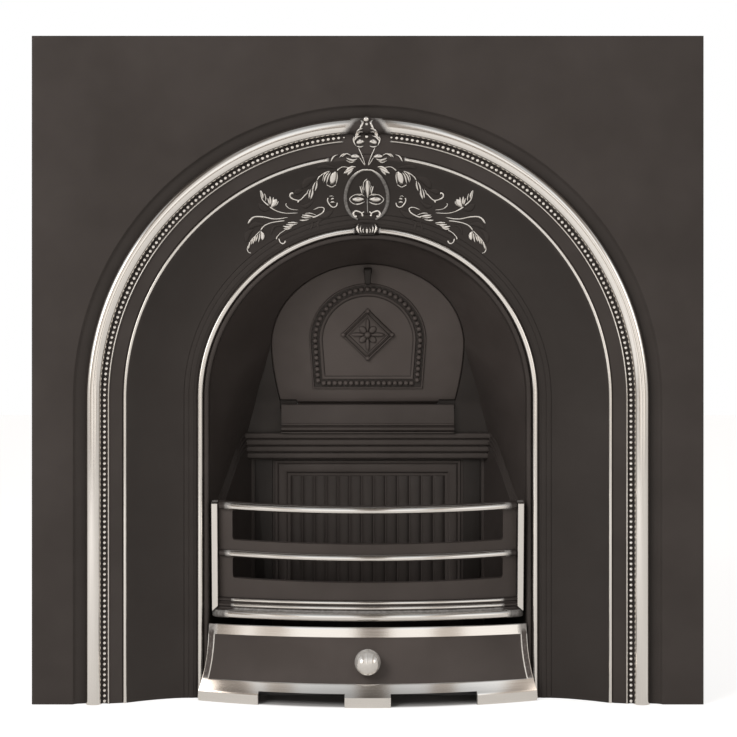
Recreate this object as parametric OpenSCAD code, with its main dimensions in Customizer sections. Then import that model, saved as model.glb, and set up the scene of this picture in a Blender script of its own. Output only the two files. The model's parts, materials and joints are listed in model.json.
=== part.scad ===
// Arched cast iron fireplace insert. Millimetres, +Z up, -Y towards the room.
// The origin is on the hearth, under the centre of the plate's front face.

/* [Front plate] */
// Width of the front plate, a 38 in insert
plate_w = 967; // [900:1:1100]
// Height of the front plate
plate_h = 962; // [900:1:1060]
// Thickness of the flat of the plate
plate_t = 8; // [6:0.5:11]
// Depth of the stiffening rim round the back of the plate
rim_deep = 16; // [12:1:24]
// Width of that rim
rim_w = 10; // [7:0.5:20]
// Height of the arch's springing line above the hearth
spring_z = 438; // [410:1:480]
// Wall of the splayed casting round the arch
arch_wall = 8; // [7:0.5:10]

/* [Arch mouldings, from the opening outwards] */
// Half width of the fire opening, and radius of its arch
opening_r = 231; // [226:1:240]
// Small roll next to the opening
roll_w = 8; // [6:0.5:10]
// Polished inner bar
inner_bar_w = 7.4; // [5:0.2:10]
// Flat quirk outside the inner bar
quirk_w = 5.4; // [3:0.2:8]
// Each of the two reeds outside the quirk
reed_ring_w = 7.3; // [5:0.1:9]
// Splayed field
field_w = 78.2; // [60:0.2:90]
// Polished half round at the top of the field
half_round_w = 4.8; // [3:0.2:7]
// Flat band between the half round and the fillet
band_w = 19.1; // [12:0.1:26]
// Thin polished fillet
fillet_w = 2.8; // [2:0.1:5]
// Channel that holds the row of beads
bead_row_w = 9.2; // [7:0.1:12]
// Polished bullnose
bull_w = 21.4; // [16:0.2:28]
// How far the bullnose stands proud of the plate
bull_proud = 6; // [3:0.5:8]
// Hollow between the bullnose and the flat of the plate
cove_w = 19; // [12:0.5:26]
// Depth of the inner mouldings behind the plate's face
inner_y = 46; // [42:0.5:52]
// Depth of the field's outer edge behind the plate's face
field_y = 13; // [10:0.5:16]

/* [Hood] */
// Thickness of the flue rope between plate and hood
seal_t = 4; // [3:0.5:6]
// Thickness of the bolting flanges
flange_t = 7; // [5:0.5:10]
// Wall of the hood and the cheeks
hood_wall = 6; // [5:0.5:8]
// Depth of the hood's upright rear wall behind the plate's face
wall_y = 190; // [180:1:205]
// Half width between the cheeks at the rear wall
cheek_back_x = 184; // [179:1:190]
// Height of the swag moulding at the front of the cheek
seam_front_z = 276; // [265:1:290]
// Height of the cornice's top, where the swag ends
cornice_z = 376; // [370:1:386]

/* [Damper flap] */
// Forward lean of the flap in degrees
flap_lean = 13; // [9:0.5:16]
// Height of the flap's foot above the hearth
flap_z = 421.3; // [418:0.1:430]
// Widest half width of the flap
flap_half_w = 146.2; // [138:0.2:150]
// Half width of the flap at its foot
flap_foot_w = 132.3; // [126:0.1:136]
// Height of the widest line above the foot, along the flap
flap_waist = 91.9; // [80:0.1:100]
// Rise of the flap's crown above its widest line
flap_crown = 125.9; // [115:0.1:130]
// Thickness of the flap's face
flap_t = 6; // [5:0.5:7]
// Gap round the flap in its aperture
flap_gap = 1.2; // [0.8:0.1:2]
// Lap of the flap's rear flange over the hood's wall
flap_lap = 8; // [5:0.5:10]
// Radius of the hinge barrel
barrel_r = 6; // [5.5:0.25:7]
// Radius of the hinge pins
pin_r = 4; // [3:0.25:4.5]
// Radial clearance of the pins in their lugs
pin_fit = 0.05; // [0.02:0.01:0.1]
// Width of the handle strap
strap_w = 11; // [8:0.5:14]
// Thickness of the handle strap
strap_t = 4; // [3:0.25:5]

/* [Fireback] */
// Depth of the fireback's face behind the plate's face
back_y = 205; // [202:1:212]
// Thickness of the fireback
back_t = 8; // [6:0.5:12]
// Number of vertical reeds in the panel
reeds = 13; // [7:2:13]
// Pitch of the reeds
reed_pitch = 18.3; // [16:0.1:18.5]
// Width of the frame moulding round the reeds
panel_frame_w = 23.8; // [18:0.2:24]
// Foot of the panel above the hearth
panel_foot_z = 152; // [148:1:165]
// Height of each cornice row
cornice_row = 10.4; // [9:0.1:11]
// Half width of the lintel
lintel_half_w = 131.4; // [124:0.2:136]
// Thickness of the lintel
lintel_t = 12; // [10:0.5:14]

/* [Fire front] */
// Radius of the bow of the bars in plan
bow_r = 640; // [560:5:760]
// Depth of the middle of the bow behind the plate's face
fret_y = 14; // [12:0.5:17]
// Forward lean of the bars and posts in degrees
fret_lean = 5.5; // [3:0.5:7]
// Height of the ledge's top above the hearth
ledge_z = 147; // [145:0.5:152]
// Height of the ledge's underside
ledge_foot_z = 119; // [116:0.5:121]
// Half width of the ledge, for an 18 in opening
ledge_half_w = 227.5; // [222:0.5:229]
// Width of each polished side post
post_w = 9.6; // [8:0.2:12]
// Height of the bars above the ledge
bars_h = 137.6; // [130:0.2:145]
// Thickness of the lift-out casting
fret_t = 8; // [6:0.5:9]
// Height of the top bar
top_bar_h = 10; // [8:0.5:12]
// Height of the middle bar
mid_bar_h = 9; // [7:0.5:11]
// Height of the middle bar's centre above the ledge
mid_bar_v = 62.8; // [60:0.2:66]
// Height of the plain lower plate
low_plate_h = 26; // [20:0.5:32]
// Width of the plain strips at the ends
end_strip_w = 20; // [14:0.5:26]
// Gap between the bars' ends and the posts
fret_gap = 1; // [0.5:0.1:2]

/* [Ashpan and grate] */
// Height of the ashpan cover
cover_h = 109.8; // [106:0.2:112]
// Radius of the cover's bow in plan, along its top edge
cover_bow_r = 800; // [740:5:900]
// Depth of the middle of its top edge behind the plate's face
cover_y = 3; // [1:0.5:4]
// How far the foot flares out in front of the top edge
cover_flare = 27.5; // [22:0.5:30]
// Half width of the cover along its top edge
cover_half_w = 231; // [224:0.5:232]
// Wall of the cover
cover_wall = 5; // [4:0.5:6]
// Inner end of each air slot from the centre
slot_in = 33; // [28:1:40]
// Outer end of each air slot from the centre
slot_out = 158; // [140:1:165]
// Height of the air slots
slot_h = 19; // [15:0.5:24]
// Radius of the ball knob
knob_r = 19; // [15:0.5:22]
// Height of the knob's centre
knob_z = 64.5; // [55:0.5:70]
// Radius of the knob's screw
screw_r = 3; // [2.5:0.25:4]
// Thickness of the bottom grate
grate_t = 16; // [12:0.5:20]
// Width of the slots in the bottom grate
grate_slot_w = 12; // [9:0.5:14]
// Pitch of those slots
grate_pitch = 24; // [20:0.5:26]
// Half width of the ash pan
pan_half_w = 165; // [150:1:172]
// Depth of the ash pan from front to back
pan_deep = 122; // [100:1:124]
// Height of the ash pan
pan_h = 74; // [60:1:84]
// Gauge of the ash pan's steel
pan_gauge = 2; // [1.5:0.1:3]

/* [Fixings] */
// Radius of the flange studs and bolts
stud_r = 4; // [3:0.25:4.5]
// Radial clearance of the bolts in their holes
bolt_fit = 0.5; // [0.4:0.05:0.8]
// Length of the brackets' rearward leg
bracket_leg = 60; // [50:1:80]
// Width of the brackets
bracket_w = 40; // [32:1:50]
// Thickness of the brackets
bracket_t = 5; // [4:0.5:8]
// Radius of the wall screw hole in each bracket
bracket_hole_r = 4.5; // [3:0.25:6]
// Height of the lower brackets' holes
bracket_low_z = 620; // [600:5:740]
// Height of the upper brackets' holes
bracket_high_z = 860; // [700:5:900]

/* [Hidden] */

iron = [0.25, 0.235, 0.225];
polish = [0.78, 0.76, 0.73];
steel = [0.55, 0.56, 0.57];
fine = 96;
tiny = 0.01;

// Radii of the arch mouldings, from the opening outwards
bar_in = opening_r + roll_w + 2;
bar_out = bar_in + inner_bar_w;
reed_in = bar_out + quirk_w;
field_in = reed_in + 2 * reed_ring_w;
field_out = field_in + field_w;
half_in = field_out + 1.6;
half_out = half_in + half_round_w;
fillet_in = half_out + band_w;
fillet_out = fillet_in + fillet_w;
bull_in = fillet_out + bead_row_w;
bull_out = bull_in + bull_w;
flat_r = bull_out + cove_w;
// Depths behind the plate's face
bead_y = field_y - 8.5;
band_y = field_y - 2;
plate_back_y = inner_y + arch_wall + 1;
lip_y = plate_back_y + 3;
flange_y = plate_back_y + seal_t;
flange_out = field_in + 2;
stud_ring_r = (bar_out + flange_out) / 2 + 1;
stud_deep = 6;
// Slope of a cheek's inner face in plan
cheek_in_x = opening_r + 1;
cheek_slope = (cheek_in_x - cheek_back_x) / (wall_y - flange_y);
function cheek_x(y) = cheek_in_x - cheek_slope * (y - flange_y);
cheek_skew = atan(cheek_slope);
cheek_wall_x = hood_wall / cos(cheek_skew);
rear_flange_w = 28;
back_half_w = cheek_x(back_y) + rear_flange_w + hood_wall;
back_bolt_x = back_half_w - 12;
// The flap's hinge line, behind its face, and the thin apron that its face keeps in front of each lug
hinge_d = barrel_r + 6;
apron_t = 3;
hinge_y = wall_y + hinge_d * cos(flap_lean);
hinge_z = flap_z + hinge_d * sin(flap_lean);
notch_x = flap_foot_w - 25;
// The lugs close the aperture's lower corners and run into its sides
lug_x = notch_x + flap_gap;
lug_w = flap_foot_w + flap_gap + 1 - lug_x;
pin_len = 2 * (lug_x + lug_w - notch_x) + 2;
strap_v = flap_waist + flap_crown - 13;
// The lift-out front
ledge_deep = 16;
fret_half_w = ledge_half_w - post_w - fret_gap;
bow_end = bow_r - sqrt(bow_r * bow_r - fret_half_w * fret_half_w);
web_y = bow_end + fret_t + 1.5;
web_t = 6;
// Ears that carry the ledge between the cheeks
ear_in_x = ledge_half_w - 21;
ear_back_y = flange_y + 29;
ear_h = 21;
// The bottom grate
bearer_t = 12;
bearer_w = 14;
grate_top = ledge_z - 2;
grate_foot = grate_top - grate_t;
// Screws through the cheeks, as depth and height: into the ledge's ears and into the bearers
ear_screw = [ear_back_y - 8, ledge_foot_z + ear_h / 2];
bearer_screws = [for (y = [wall_y - 80, wall_y - 12]) [y, grate_foot - bearer_t / 2]];
screw_grip = 10;
// The ashpan cover
cover_yc = cover_y + cover_bow_r;
function flare(z) = cover_flare * pow(max(0, 1 - z / cover_h), 2.6);
cover_face_y = cover_y - flare(knob_z);
knob_neck = 4;
knob_y = cover_face_y - knob_neck - knob_r + 2;
pan_y = wall_y - pan_deep - 2;
// The fixing brackets stand just inside the plate's rim, clear of the arch casting
bracket_base = 36;
bracket_x = plate_w / 2 - rim_w - 1;
bracket_y = plate_t + bracket_leg - 16;
bolt_deep = 5;
// Nuts and washers follow the studs' radius
nut_af = 3.25 * stud_r;
nut_h = 1.6 * stud_r;
washer_h = 0.4 * stud_r;
bolt_end = 0.75 * stud_r;
stud_inset = 60;

// Points of a half ellipse of width w and height rise on a base line, from its outer edge inwards
function roll(r, w, base, rise) =
    [for (a = [0:20:180]) [r + w / 2 * cos(a), base + rise * sin(a)]];
// Points along the hollow splayed field from its outer edge inwards, moved back by d
function field(d) =
    [for (i = [0:8]) let (t = i / 8)
        [field_out - t * field_w, -(field_y + (inner_y - field_y) * (1 - pow(1 - t, 1.5))) - d]];
// Height of the swag line along the cheek's top edge at depth y
function swag_t(y) = min(1, max(0, (y - flange_y) / (wall_y - flange_y)));
function swag_z(y) = seam_front_z + (cornice_z - seam_front_z) * (1 - cos(180 * swag_t(y))) / 2;
function reversed(p) = [for (i = [len(p) - 1:-1:0]) p[i]];

// Section of the arch: first number is the radius, second the height towards the room
module arch_section() {
    front = concat(
        [[flat_r + 6, 0], [flat_r, 0], [flat_r - 1.5, -2.5], [flat_r - 9, -3.5], [bull_out + 2, -bead_y - 1]],
        roll((bull_in + bull_out) / 2, bull_w, -bead_y, bead_y + bull_proud),
        [[fillet_out + 0.2, -bead_y - 0.5]],
        roll((fillet_in + fillet_out) / 2, fillet_w, -bead_y - 1, 2.2),
        [[fillet_in - 0.8, -bead_y - 1.5], [half_out + 0.6, -band_y]],
        roll((half_in + half_out) / 2, half_round_w, -band_y - 1, 3),
        field(0),
        roll(field_in - reed_ring_w / 2, reed_ring_w - 0.4, -inner_y, 2.5),
        roll(reed_in + reed_ring_w / 2, reed_ring_w - 0.4, -inner_y, 2.5),
        [[bar_out + 0.4, -inner_y - 0.5]],
        roll((bar_in + bar_out) / 2, inner_bar_w, -inner_y, 5),
        [[bar_in - 1, -inner_y - 1]],
        roll(opening_r + roll_w / 2, roll_w - 0.4, -inner_y - 2, 3));
    rear = concat(
        [[opening_r, -lip_y], [opening_r + roll_w, -lip_y], [opening_r + roll_w, -plate_back_y],
         [field_in, -plate_back_y]],
        reversed(field(arch_wall)),
        [[fillet_out, -bead_y - arch_wall], [bull_out, -bead_y - arch_wall], [flat_r + 6, -plate_t]]);
    polygon(concat(front, rear));
}

// Carries a section round the arch and down both legs
module arch_sweep(foot = 0) {
    translate([0, 0, spring_z])
        rotate([90, 0, 0])
            rotate_extrude(angle = 180, $fn = 128)
                children();
    for (side = [0, 1])
        mirror([side, 0, 0])
            translate([0, 0, foot])
                linear_extrude(spring_z - foot)
                    mirror([0, 1, 0])
                        children();
}

// A solid arch of radius r, from depth y0 to y1, with legs down to the foot
module arch_block(r, y0, y1, foot = 0) {
    translate([0, y1, spring_z])
        rotate([90, 0, 0])
            cylinder(r = r, h = y1 - y0, $fn = 128);
    translate([-r, y0, foot])
        cube([2 * r, y1 - y0, spring_z - foot]);
}

// A bar along Y from depth y0 to y1
module rod_y(r, y0, y1, x = 0, z = 0) {
    translate([x, y0, z])
        rotate([-90, 0, 0])
            cylinder(r = r, h = y1 - y0, $fn = 48);
}

// A bar along X
module rod_x(r, x0, x1, y, z) {
    translate([x0, y, z])
        rotate([0, 90, 0])
            cylinder(r = r, h = x1 - x0, $fn = 48);
}

// A hexagonal nut along Y
module hex_y(across, y0, y1, x, z) {
    translate([x, y0, z])
        rotate([-90, 0, 0])
            cylinder(d = across / cos(30), h = y1 - y0, $fn = 6);
}

// A rectangle with round corners
module round_rect(w, h, r) {
    translate([r, 0])
        square([w - 2 * r, h]);
    translate([0, r])
        square([w, h - 2 * r]);
    for (x = [r, w - r], y = [r, h - r])
        translate([x, y])
            circle(r, $fn = 32);
}

// Places of the flange studs: on the hood's arch, on its legs, and on the cheeks
hood_studs = concat(
    [for (a = [30, 90, 150]) [stud_ring_r * cos(a), spring_z + stud_ring_r * sin(a)]],
    [for (side = [-1, 1]) [side * stud_ring_r, spring_z - 90]]);
cheek_studs = [for (side = [-1, 1], z = [stud_inset, seam_front_z - stud_inset]) [side * stud_ring_r, z]];
flange_places = concat(hood_studs, cheek_studs);

module front_plate() color(iron) difference() {
    union() {
        difference() {
            union() {
                translate([-plate_w / 2, 0, 0])
                    cube([plate_w, plate_t, plate_h]);
                difference() {
                    translate([-plate_w / 2, 0, 0])
                        cube([plate_w, rim_deep, plate_h]);
                    translate([rim_w - plate_w / 2, -1, rim_w])
                        cube([plate_w - 2 * rim_w, rim_deep + 2, plate_h - 2 * rim_w]);
                }
            }
            arch_block(flat_r + 3, -1, rim_deep + 1, -1);
        }
        arch_sweep()
            arch_section();
        front_ornament();
    }
    for (p = flange_places)
        rod_y(stud_r, plate_back_y - stud_deep, plate_back_y + 1, p[0], p[1]);
    for (p = bracket_places)
        rod_y(stud_r, plate_t - bolt_deep, plate_t + 1, p[0], p[1]);
}

// Main masses of the cast leaf spray: the oval ring, its palmette, the buds and the clasp
ornament_z = spring_z + (field_in + field_out) / 2 - 12;
ring_r = 31;
boss_r = 6.5;
function field_depth(z) =
    let (r = z - spring_z, t = min(1, max(0, (field_out - r) / field_w)))
        field_y + (inner_y - field_y) * (1 - pow(1 - t, 1.5));
module front_ornament() {
    lean = atan((field_depth(ornament_z - 30) - field_depth(ornament_z + 30)) / 60);
    translate([0, field_depth(ornament_z), ornament_z])
        rotate([lean, 0, 0]) {
            rotate([90, 0, 0])
                rotate_extrude($fn = fine)
                    translate([ring_r, 0])
                        circle(4, $fn = 24);
            for (a = [90, 200, 340])
                translate([12 * cos(a), -1, 12 * sin(a)])
                    sphere(boss_r, $fn = 32);
            for (side = [-1, 1])
                translate([side * 1.6 * ring_r, 0, 0])
                    sphere(boss_r, $fn = 32);
        }
    for (side = [-1, 1])
        boss(side * (boss_r + 3), bead_y + 2, spring_z + (bull_in + fillet_in) / 2 - 6);
    boss(0, inner_y, spring_z + (bar_in + bar_out) / 2);
}

// A tapered boss that stands forward of depth y
module boss(x, y, z)
    translate([x, y, z])
        rotate([90, 0, 0])
            cylinder(r1 = boss_r + 1, r2 = boss_r / 2, h = boss_r + 2, $fn = 48);

// Half of the flap's outline, from its foot up to the crown, grown by d
function flap_side(d) = concat(
    [for (i = [0:6]) let (t = i / 6)
        [flap_foot_w + (flap_half_w - flap_foot_w) * (1 - pow(1 - t, 1.7)) + d, t * flap_waist]],
    [for (i = [1:12]) let (a = i * 90 / 12)
        [(flap_half_w + d) * cos(a), flap_waist + (flap_crown + d) * sin(a)]]);
module flap_outline(d, foot) {
    right = flap_side(d);
    left = [for (p = reversed(right)) [-p[0], p[1]]];
    skirt = 20;
    intersection() {
        polygon(concat([[-flap_foot_w - d, -skirt], [flap_foot_w + d, -skirt]], right, left));
        translate([-plate_w / 2, foot])
            square([plate_w, plate_h]);
    }
}

// The flap's own leaning plane: x across, y into the wall, z up the flap
module flap_plane() {
    translate([0, wall_y, flap_z])
        rotate([flap_lean, 0, 0])
            children();
}
module flap_slab(d, foot, y0, y1) {
    flap_plane()
        translate([0, y1, 0])
            rotate([90, 0, 0])
                linear_extrude(y1 - y0)
                    flap_outline(d, foot);
}

// The funnel as one convex block, grown by d; the inner and outer blocks leave the wall
module funnel(d, y_front) {
    waist_z = flap_z + flap_waist * cos(flap_lean);
    wall_slope = (cheek_back_x - flap_half_w - 3) / (waist_z - cornice_z);
    foot_x = cheek_back_x - wall_slope * (flap_z - cornice_z) + d;
    hull() {
        translate([0, y_front + 1, spring_z])
            rotate([90, 0, 0])
                cylinder(r = cheek_in_x + d, h = 1, $fn = 96);
        translate([-cheek_in_x - d, y_front, ledge_z])
            cube([2 * (cheek_in_x + d), 1, spring_z - ledge_z]);
        translate([0, d, 0])
            flap_slab(3 + d, 0, -1, 0);
        for (side = [-1, 1])
            translate([side * (foot_x - 0.5) - 0.5, wall_y + d - 1, flap_z - 1])
                cube([1, 1, 1]);
        translate([-cheek_back_x - d, wall_y + d - 1, ledge_z])
            cube([2 * (cheek_back_x + d), 1, cornice_z - ledge_z]);
    }
}

// Everything below the swag line, as a block across the whole width
module below_swag(drop = 0) {
    steps = 16;
    side = [for (i = [0:steps]) let (y = flange_y + (wall_y - flange_y) * i / steps) [y, swag_z(y) - drop]];
    rotate([90, 0, 90])
        translate([0, 0, -plate_w / 2])
            linear_extrude(plate_w)
                polygon(concat(
                    [[plate_back_y - 5, -5], [plate_back_y - 5, seam_front_z - drop]],
                    side,
                    [[back_y + 60, cornice_z - drop], [back_y + 60, -5]]));
}

module hood() color(iron) {
    difference() {
        union() {
            difference() {
                funnel(hood_wall, flange_y);
                funnel(0, flange_y - 1);
            }
            difference() {
                arch_block(flange_out, flange_y, flange_y + flange_t, ledge_z);
                arch_block(cheek_in_x + 2, flange_y - 1, flange_y + flange_t + 1, ledge_z - 1);
            }
        }
        below_swag();
        flap_slab(flap_gap, -barrel_r - 4, -2, hood_wall + 8);
        for (p = hood_studs)
            rod_y(stud_r + bolt_fit, flange_y - 1, flange_y + flange_t + 1, p[0], p[1]);
        for (p = lintel_places)
            rod_y(screw_r + bolt_fit / 2, wall_y - 5, wall_y + hood_wall + 5, p[0], p[1]);
        flap_sweep_room();
    }
    for (side = [-1, 1])
        hinge_lug(side);
}

// Room that the flap's foot and barrel swing through
module flap_sweep_room() {
    rod_x(barrel_r + 1.5, -notch_x - 1, notch_x + 1, hinge_y, hinge_z);
}

// Lug on the hood's rear wall that carries one hinge pin
module hinge_lug(side) {
    x0 = side > 0 ? lug_x : -lug_x - lug_w;
    difference() {
        union() {
            rod_x(barrel_r + 1.5, x0, x0 + lug_w, hinge_y, hinge_z);
            translate([x0, wall_y + 3, cornice_z + 8])
                cube([lug_w, hinge_y + barrel_r - wall_y - 2, hinge_z - cornice_z - 8]);
        }
        rod_x(pin_r + pin_fit, x0 - 1, x0 + lug_w + 1, hinge_y, hinge_z);
    }
}

module damper_door() color(iron) difference() {
    union() {
        difference() {
            union() {
                flap_slab(0, 2, 0, flap_t + 1);
                flap_slab(flap_lap, barrel_r * 2 + 2, flap_t + 0.3, flap_t + 5);
            }
            flap_plane()
                for (side = [-1, 1])
                    translate([side * (notch_x + 30) - 30, apron_t, -10])
                        cube([60, flap_t + 8, 10 + barrel_r + 9]);
        }
        flap_plane()
            translate([-notch_x, flap_t - 3, 0])
                cube([2 * notch_x, hinge_d - flap_t + 3, 20]);
        rod_x(barrel_r, -notch_x, notch_x, hinge_y, hinge_z);
        flap_relief();
    }
    for (side = [-1, 1])
        rod_x(pin_r, side > 0 ? notch_x - pin_len / 2 : -notch_x - 1,
              side > 0 ? notch_x + 1 : pin_len / 2 - notch_x, hinge_y, hinge_z);
    flap_plane()
        rod_y(screw_r, -1, flap_t + 20, 0, strap_v);
}

// Cast relief on the flap: the horseshoe rim and the framed flower
relief_r = 87.5;
relief_v = 99.7;
relief_foot_v = 26;
relief_w = 17;
diamond_v = 108.3;
diamond_r = 40;
module flap_relief() flap_plane() {
    translate([0, 0.5, 0])
        rotate([90, 0, 0])
            linear_extrude(3)
                difference() {
                    union() {
                        translate([0, relief_v])
                            circle(relief_r, $fn = fine);
                        polygon([[-relief_r, relief_v], [relief_r, relief_v],
                                 [relief_r - 7, relief_foot_v], [7 - relief_r, relief_foot_v]]);
                    }
                    translate([0, relief_v])
                        circle(relief_r - relief_w, $fn = fine);
                    polygon([[relief_w - relief_r, relief_v], [relief_r - relief_w, relief_v],
                             [relief_r - relief_w - 6, relief_foot_v + relief_w],
                             [relief_w + 6 - relief_r, relief_foot_v + relief_w]]);
                }
    translate([0, 0.5, diamond_v])
        rotate([90, 0, 0])
            linear_extrude(4)
                difference() {
                    circle(diamond_r, $fn = 4);
                    circle(diamond_r - 7, $fn = 4);
                }
    translate([0, 0, diamond_v])
        rotate([90, 0, 0])
            cylinder(r1 = 16, r2 = 5, h = 4, $fn = 48);
}

// Strap hook: a shank through the flap, a bow over the top and a tongue hanging down
module damper_handle() color(iron) flap_plane() {
    bow = 6;
    reach = 10;
    translate([-strap_w / 2, -reach, strap_v - strap_t / 2])
        cube([strap_w, reach, strap_t]);
    translate([-strap_w / 2, -reach, strap_v - strap_t / 2 - bow + strap_t])
        rotate([90, 0, 90])
            intersection() {
                difference() {
                    cylinder(r = bow, h = strap_w, $fn = 48);
                    translate([0, 0, -1])
                        cylinder(r = bow - strap_t, h = strap_w + 2, $fn = 48);
                }
                translate([-bow - 1, 0, -1])
                    cube([bow + 1, bow + 1, strap_w + 2]);
            }
    translate([-strap_w / 2, -reach - bow, strap_v - 20])
        cube([strap_w, strap_t, 20 + strap_t / 2 - bow + tiny]);
    rod_y(screw_r, -tiny, flap_t + 8, 0, strap_v);
    rod_y(screw_r + 3, flap_t + 5, flap_t + 8, 0, strap_v);
}

module damper_pins() color(steel)
    for (side = [-1, 1])
        rod_x(pin_r, side > 0 ? notch_x - pin_len / 2 : -lug_x - lug_w - 2,
              side > 0 ? lug_x + lug_w + 2 : pin_len / 2 - notch_x, hinge_y, hinge_z);

lintel_places = [for (side = [-1, 1]) [side * lintel_half_w * 0.6, cornice_z + 24]];
lintel_h = flap_z - cornice_z - 1.3;
module lintel() color(iron) difference() {
    union() {
        translate([-lintel_half_w, wall_y - lintel_t, cornice_z])
            cube([2 * lintel_half_w, lintel_t, lintel_h]);
        rod_x(4.6, -lintel_half_w, lintel_half_w, wall_y - lintel_t + 1, cornice_z + 4.6);
        rod_x(2.2, -lintel_half_w, lintel_half_w, wall_y - lintel_t, cornice_z + 12.5);
    }
    for (p = lintel_places)
        rod_y(screw_r, wall_y - lintel_t + 3, wall_y + 1, p[0], p[1]);
    flap_sweep_room();
}

module lintel_screws() color(steel)
    for (p = lintel_places) {
        rod_y(screw_r, wall_y - lintel_t + 3, wall_y + hood_wall + 1, p[0], p[1]);
        rod_y(screw_r * 1.9, wall_y + hood_wall, wall_y + hood_wall + 3, p[0], p[1]);
    }

// Space between the cheeks' inner faces in plan
module between_cheeks(gap, z0, z1) {
    y0 = flange_y;
    y1 = back_y + back_t + 20;
    translate([0, 0, z0])
        linear_extrude(z1 - z0)
            polygon([[gap - cheek_x(y0), y0], [cheek_x(y0) - gap, y0],
                     [cheek_x(y1) - gap, y1], [gap - cheek_x(y1), y1]]);
}

reed_r = reed_pitch * 0.55;
panel_half_w = reeds * reed_pitch / 2 + panel_frame_w;
panel_top_z = cornice_z - 4 * cornice_row - 1.4;
back_bolt_zs = [60, cornice_z - 110];
module fireback() color(iron) {
    difference() {
        translate([-back_half_w, back_y, 0])
            cube([2 * back_half_w, back_t, cornice_z]);
        for (side = [-1, 1], z = back_bolt_zs)
            rod_y(stud_r + bolt_fit, back_y - 1, back_y + back_t + 1, side * back_bolt_x, z);
    }
    // cornice
    intersection() {
        union() {
            for (i = [0:3])
                let (z = cornice_z - (i + 0.5) * cornice_row, y = wall_y - 5 + 3.2 * i)
                    union() {
                        rod_x(cornice_row / 2, -plate_w / 4, plate_w / 4, y, z);
                        translate([-plate_w / 4, y, z - cornice_row / 2])
                            cube([plate_w / 2, back_y - y + 1, cornice_row]);
                    }
        }
        between_cheeks(0.2, 0, cornice_z);
    }
    // panel frame
    frame_mid = panel_frame_w / 2;
    translate([0, back_y - 4, 0])
        difference() {
            translate([-panel_half_w, 0, panel_foot_z])
                cube([2 * panel_half_w, 5, panel_top_z - panel_foot_z]);
            translate([panel_frame_w - panel_half_w, -1, panel_foot_z + panel_frame_w])
                cube([2 * (panel_half_w - panel_frame_w), 7,
                      panel_top_z - panel_foot_z - 2 * panel_frame_w]);
        }
    for (side = [-1, 1])
        translate([side * (panel_half_w - frame_mid), back_y - 4, panel_foot_z + frame_mid])
            cylinder(r = 6, h = panel_top_z - panel_foot_z - panel_frame_w, $fn = 32);
    for (z = [panel_foot_z + frame_mid, panel_top_z - frame_mid])
        rod_x(6, frame_mid - panel_half_w, panel_half_w - frame_mid, back_y - 4, z);
    // reeds
    reed_foot_z = panel_foot_z + panel_frame_w - 1;
    reed_len = panel_top_z - panel_foot_z - 2 * panel_frame_w + 2;
    intersection() {
        for (i = [0:reeds - 1])
            translate([(i - (reeds - 1) / 2) * reed_pitch, back_y + reed_r / 2, reed_foot_z])
                cylinder(r = reed_r, h = reed_len, $fn = 48);
        translate([-panel_half_w, back_y - reed_r, reed_foot_z - 1])
            cube([2 * panel_half_w, reed_r + 2, reed_len + 2]);
    }
}

// A rod across the right cheek's wall at p = [depth, height], from d0 to d1 outwards of its inner face
module cheek_rod(r, p, d0, d1)
    translate([cheek_x(p[0]), p[0], p[1]])
        rotate([0, 0, cheek_skew])
            rod_x(r, d0, d1, 0, 0);

module cheek() {
    y0 = flange_y + flange_t;
    y1 = back_y - flange_t;
    difference() {
        intersection() {
            linear_extrude(cornice_z)
                polygon([[cheek_in_x, flange_y], [flange_out, flange_y], [flange_out, y0],
                         [cheek_x(y0) + cheek_wall_x, y0], [cheek_x(y1) + cheek_wall_x, y1],
                         [back_half_w, y1], [back_half_w, back_y], [cheek_x(back_y), back_y]]);
            below_swag();
        }
        for (p = cheek_studs)
            rod_y(stud_r + bolt_fit, flange_y - 1, y0 + 1, p[0], p[1]);
        for (z = back_bolt_zs)
            rod_y(stud_r + bolt_fit, y1 - 1, back_y + 1, back_bolt_x, z);
        for (p = concat([ear_screw], bearer_screws))
            cheek_rod(screw_r + bolt_fit / 2, p, -1, hood_wall + 1);
    }
    // swag mouldings on the inner face
    for (step = [0, 8])
        difference() {
            intersection() {
                linear_extrude(cornice_z)
                    polygon([[cheek_in_x - 2, flange_y + 1], [cheek_in_x + 1, flange_y + 1],
                             [cheek_x(wall_y - 14) + 1, wall_y - 14], [cheek_x(wall_y - 14) - 2, wall_y - 14]]);
                below_swag(step);
            }
            below_swag(step + 4);
        }
}
module right_cheek() color(iron) cheek();
module left_cheek() color(iron) mirror([1, 0, 0]) cheek();

module back_bolts() color(steel)
    for (side = [-1, 1], z = back_bolt_zs) {
        rod_y(stud_r, back_y - flange_t - stud_r, back_y + back_t + nut_h + bolt_end, side * back_bolt_x, z);
        hex_y(nut_af, back_y - flange_t - 0.8 * nut_h, back_y - flange_t, side * back_bolt_x, z);
    }

module back_nuts() color(steel)
    for (side = [-1, 1], z = back_bolt_zs)
        difference() {
            hex_y(nut_af, back_y + back_t, back_y + back_t + nut_h, side * back_bolt_x, z);
            rod_y(stud_r, back_y + back_t - 1, back_y + back_t + nut_h + 1, side * back_bolt_x, z);
        }

// Revolves a section (offset forwards of the bow, height) round the bow's centre
module bowed(r, y_mid, half_w) {
    half = asin(half_w / (r - 30)) + 2;
    translate([0, y_mid + r, 0])
        rotate([0, 0, -90 - half])
            rotate_extrude(angle = 2 * half, $fn = 360)
                translate([r, 0])
                    children();
}

// Points of a round nose: centre (f, z), radius r
function nose(f, z, r) = [for (a = [-80:20:80]) [f + r * cos(a), z + r * sin(a)]];

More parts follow.
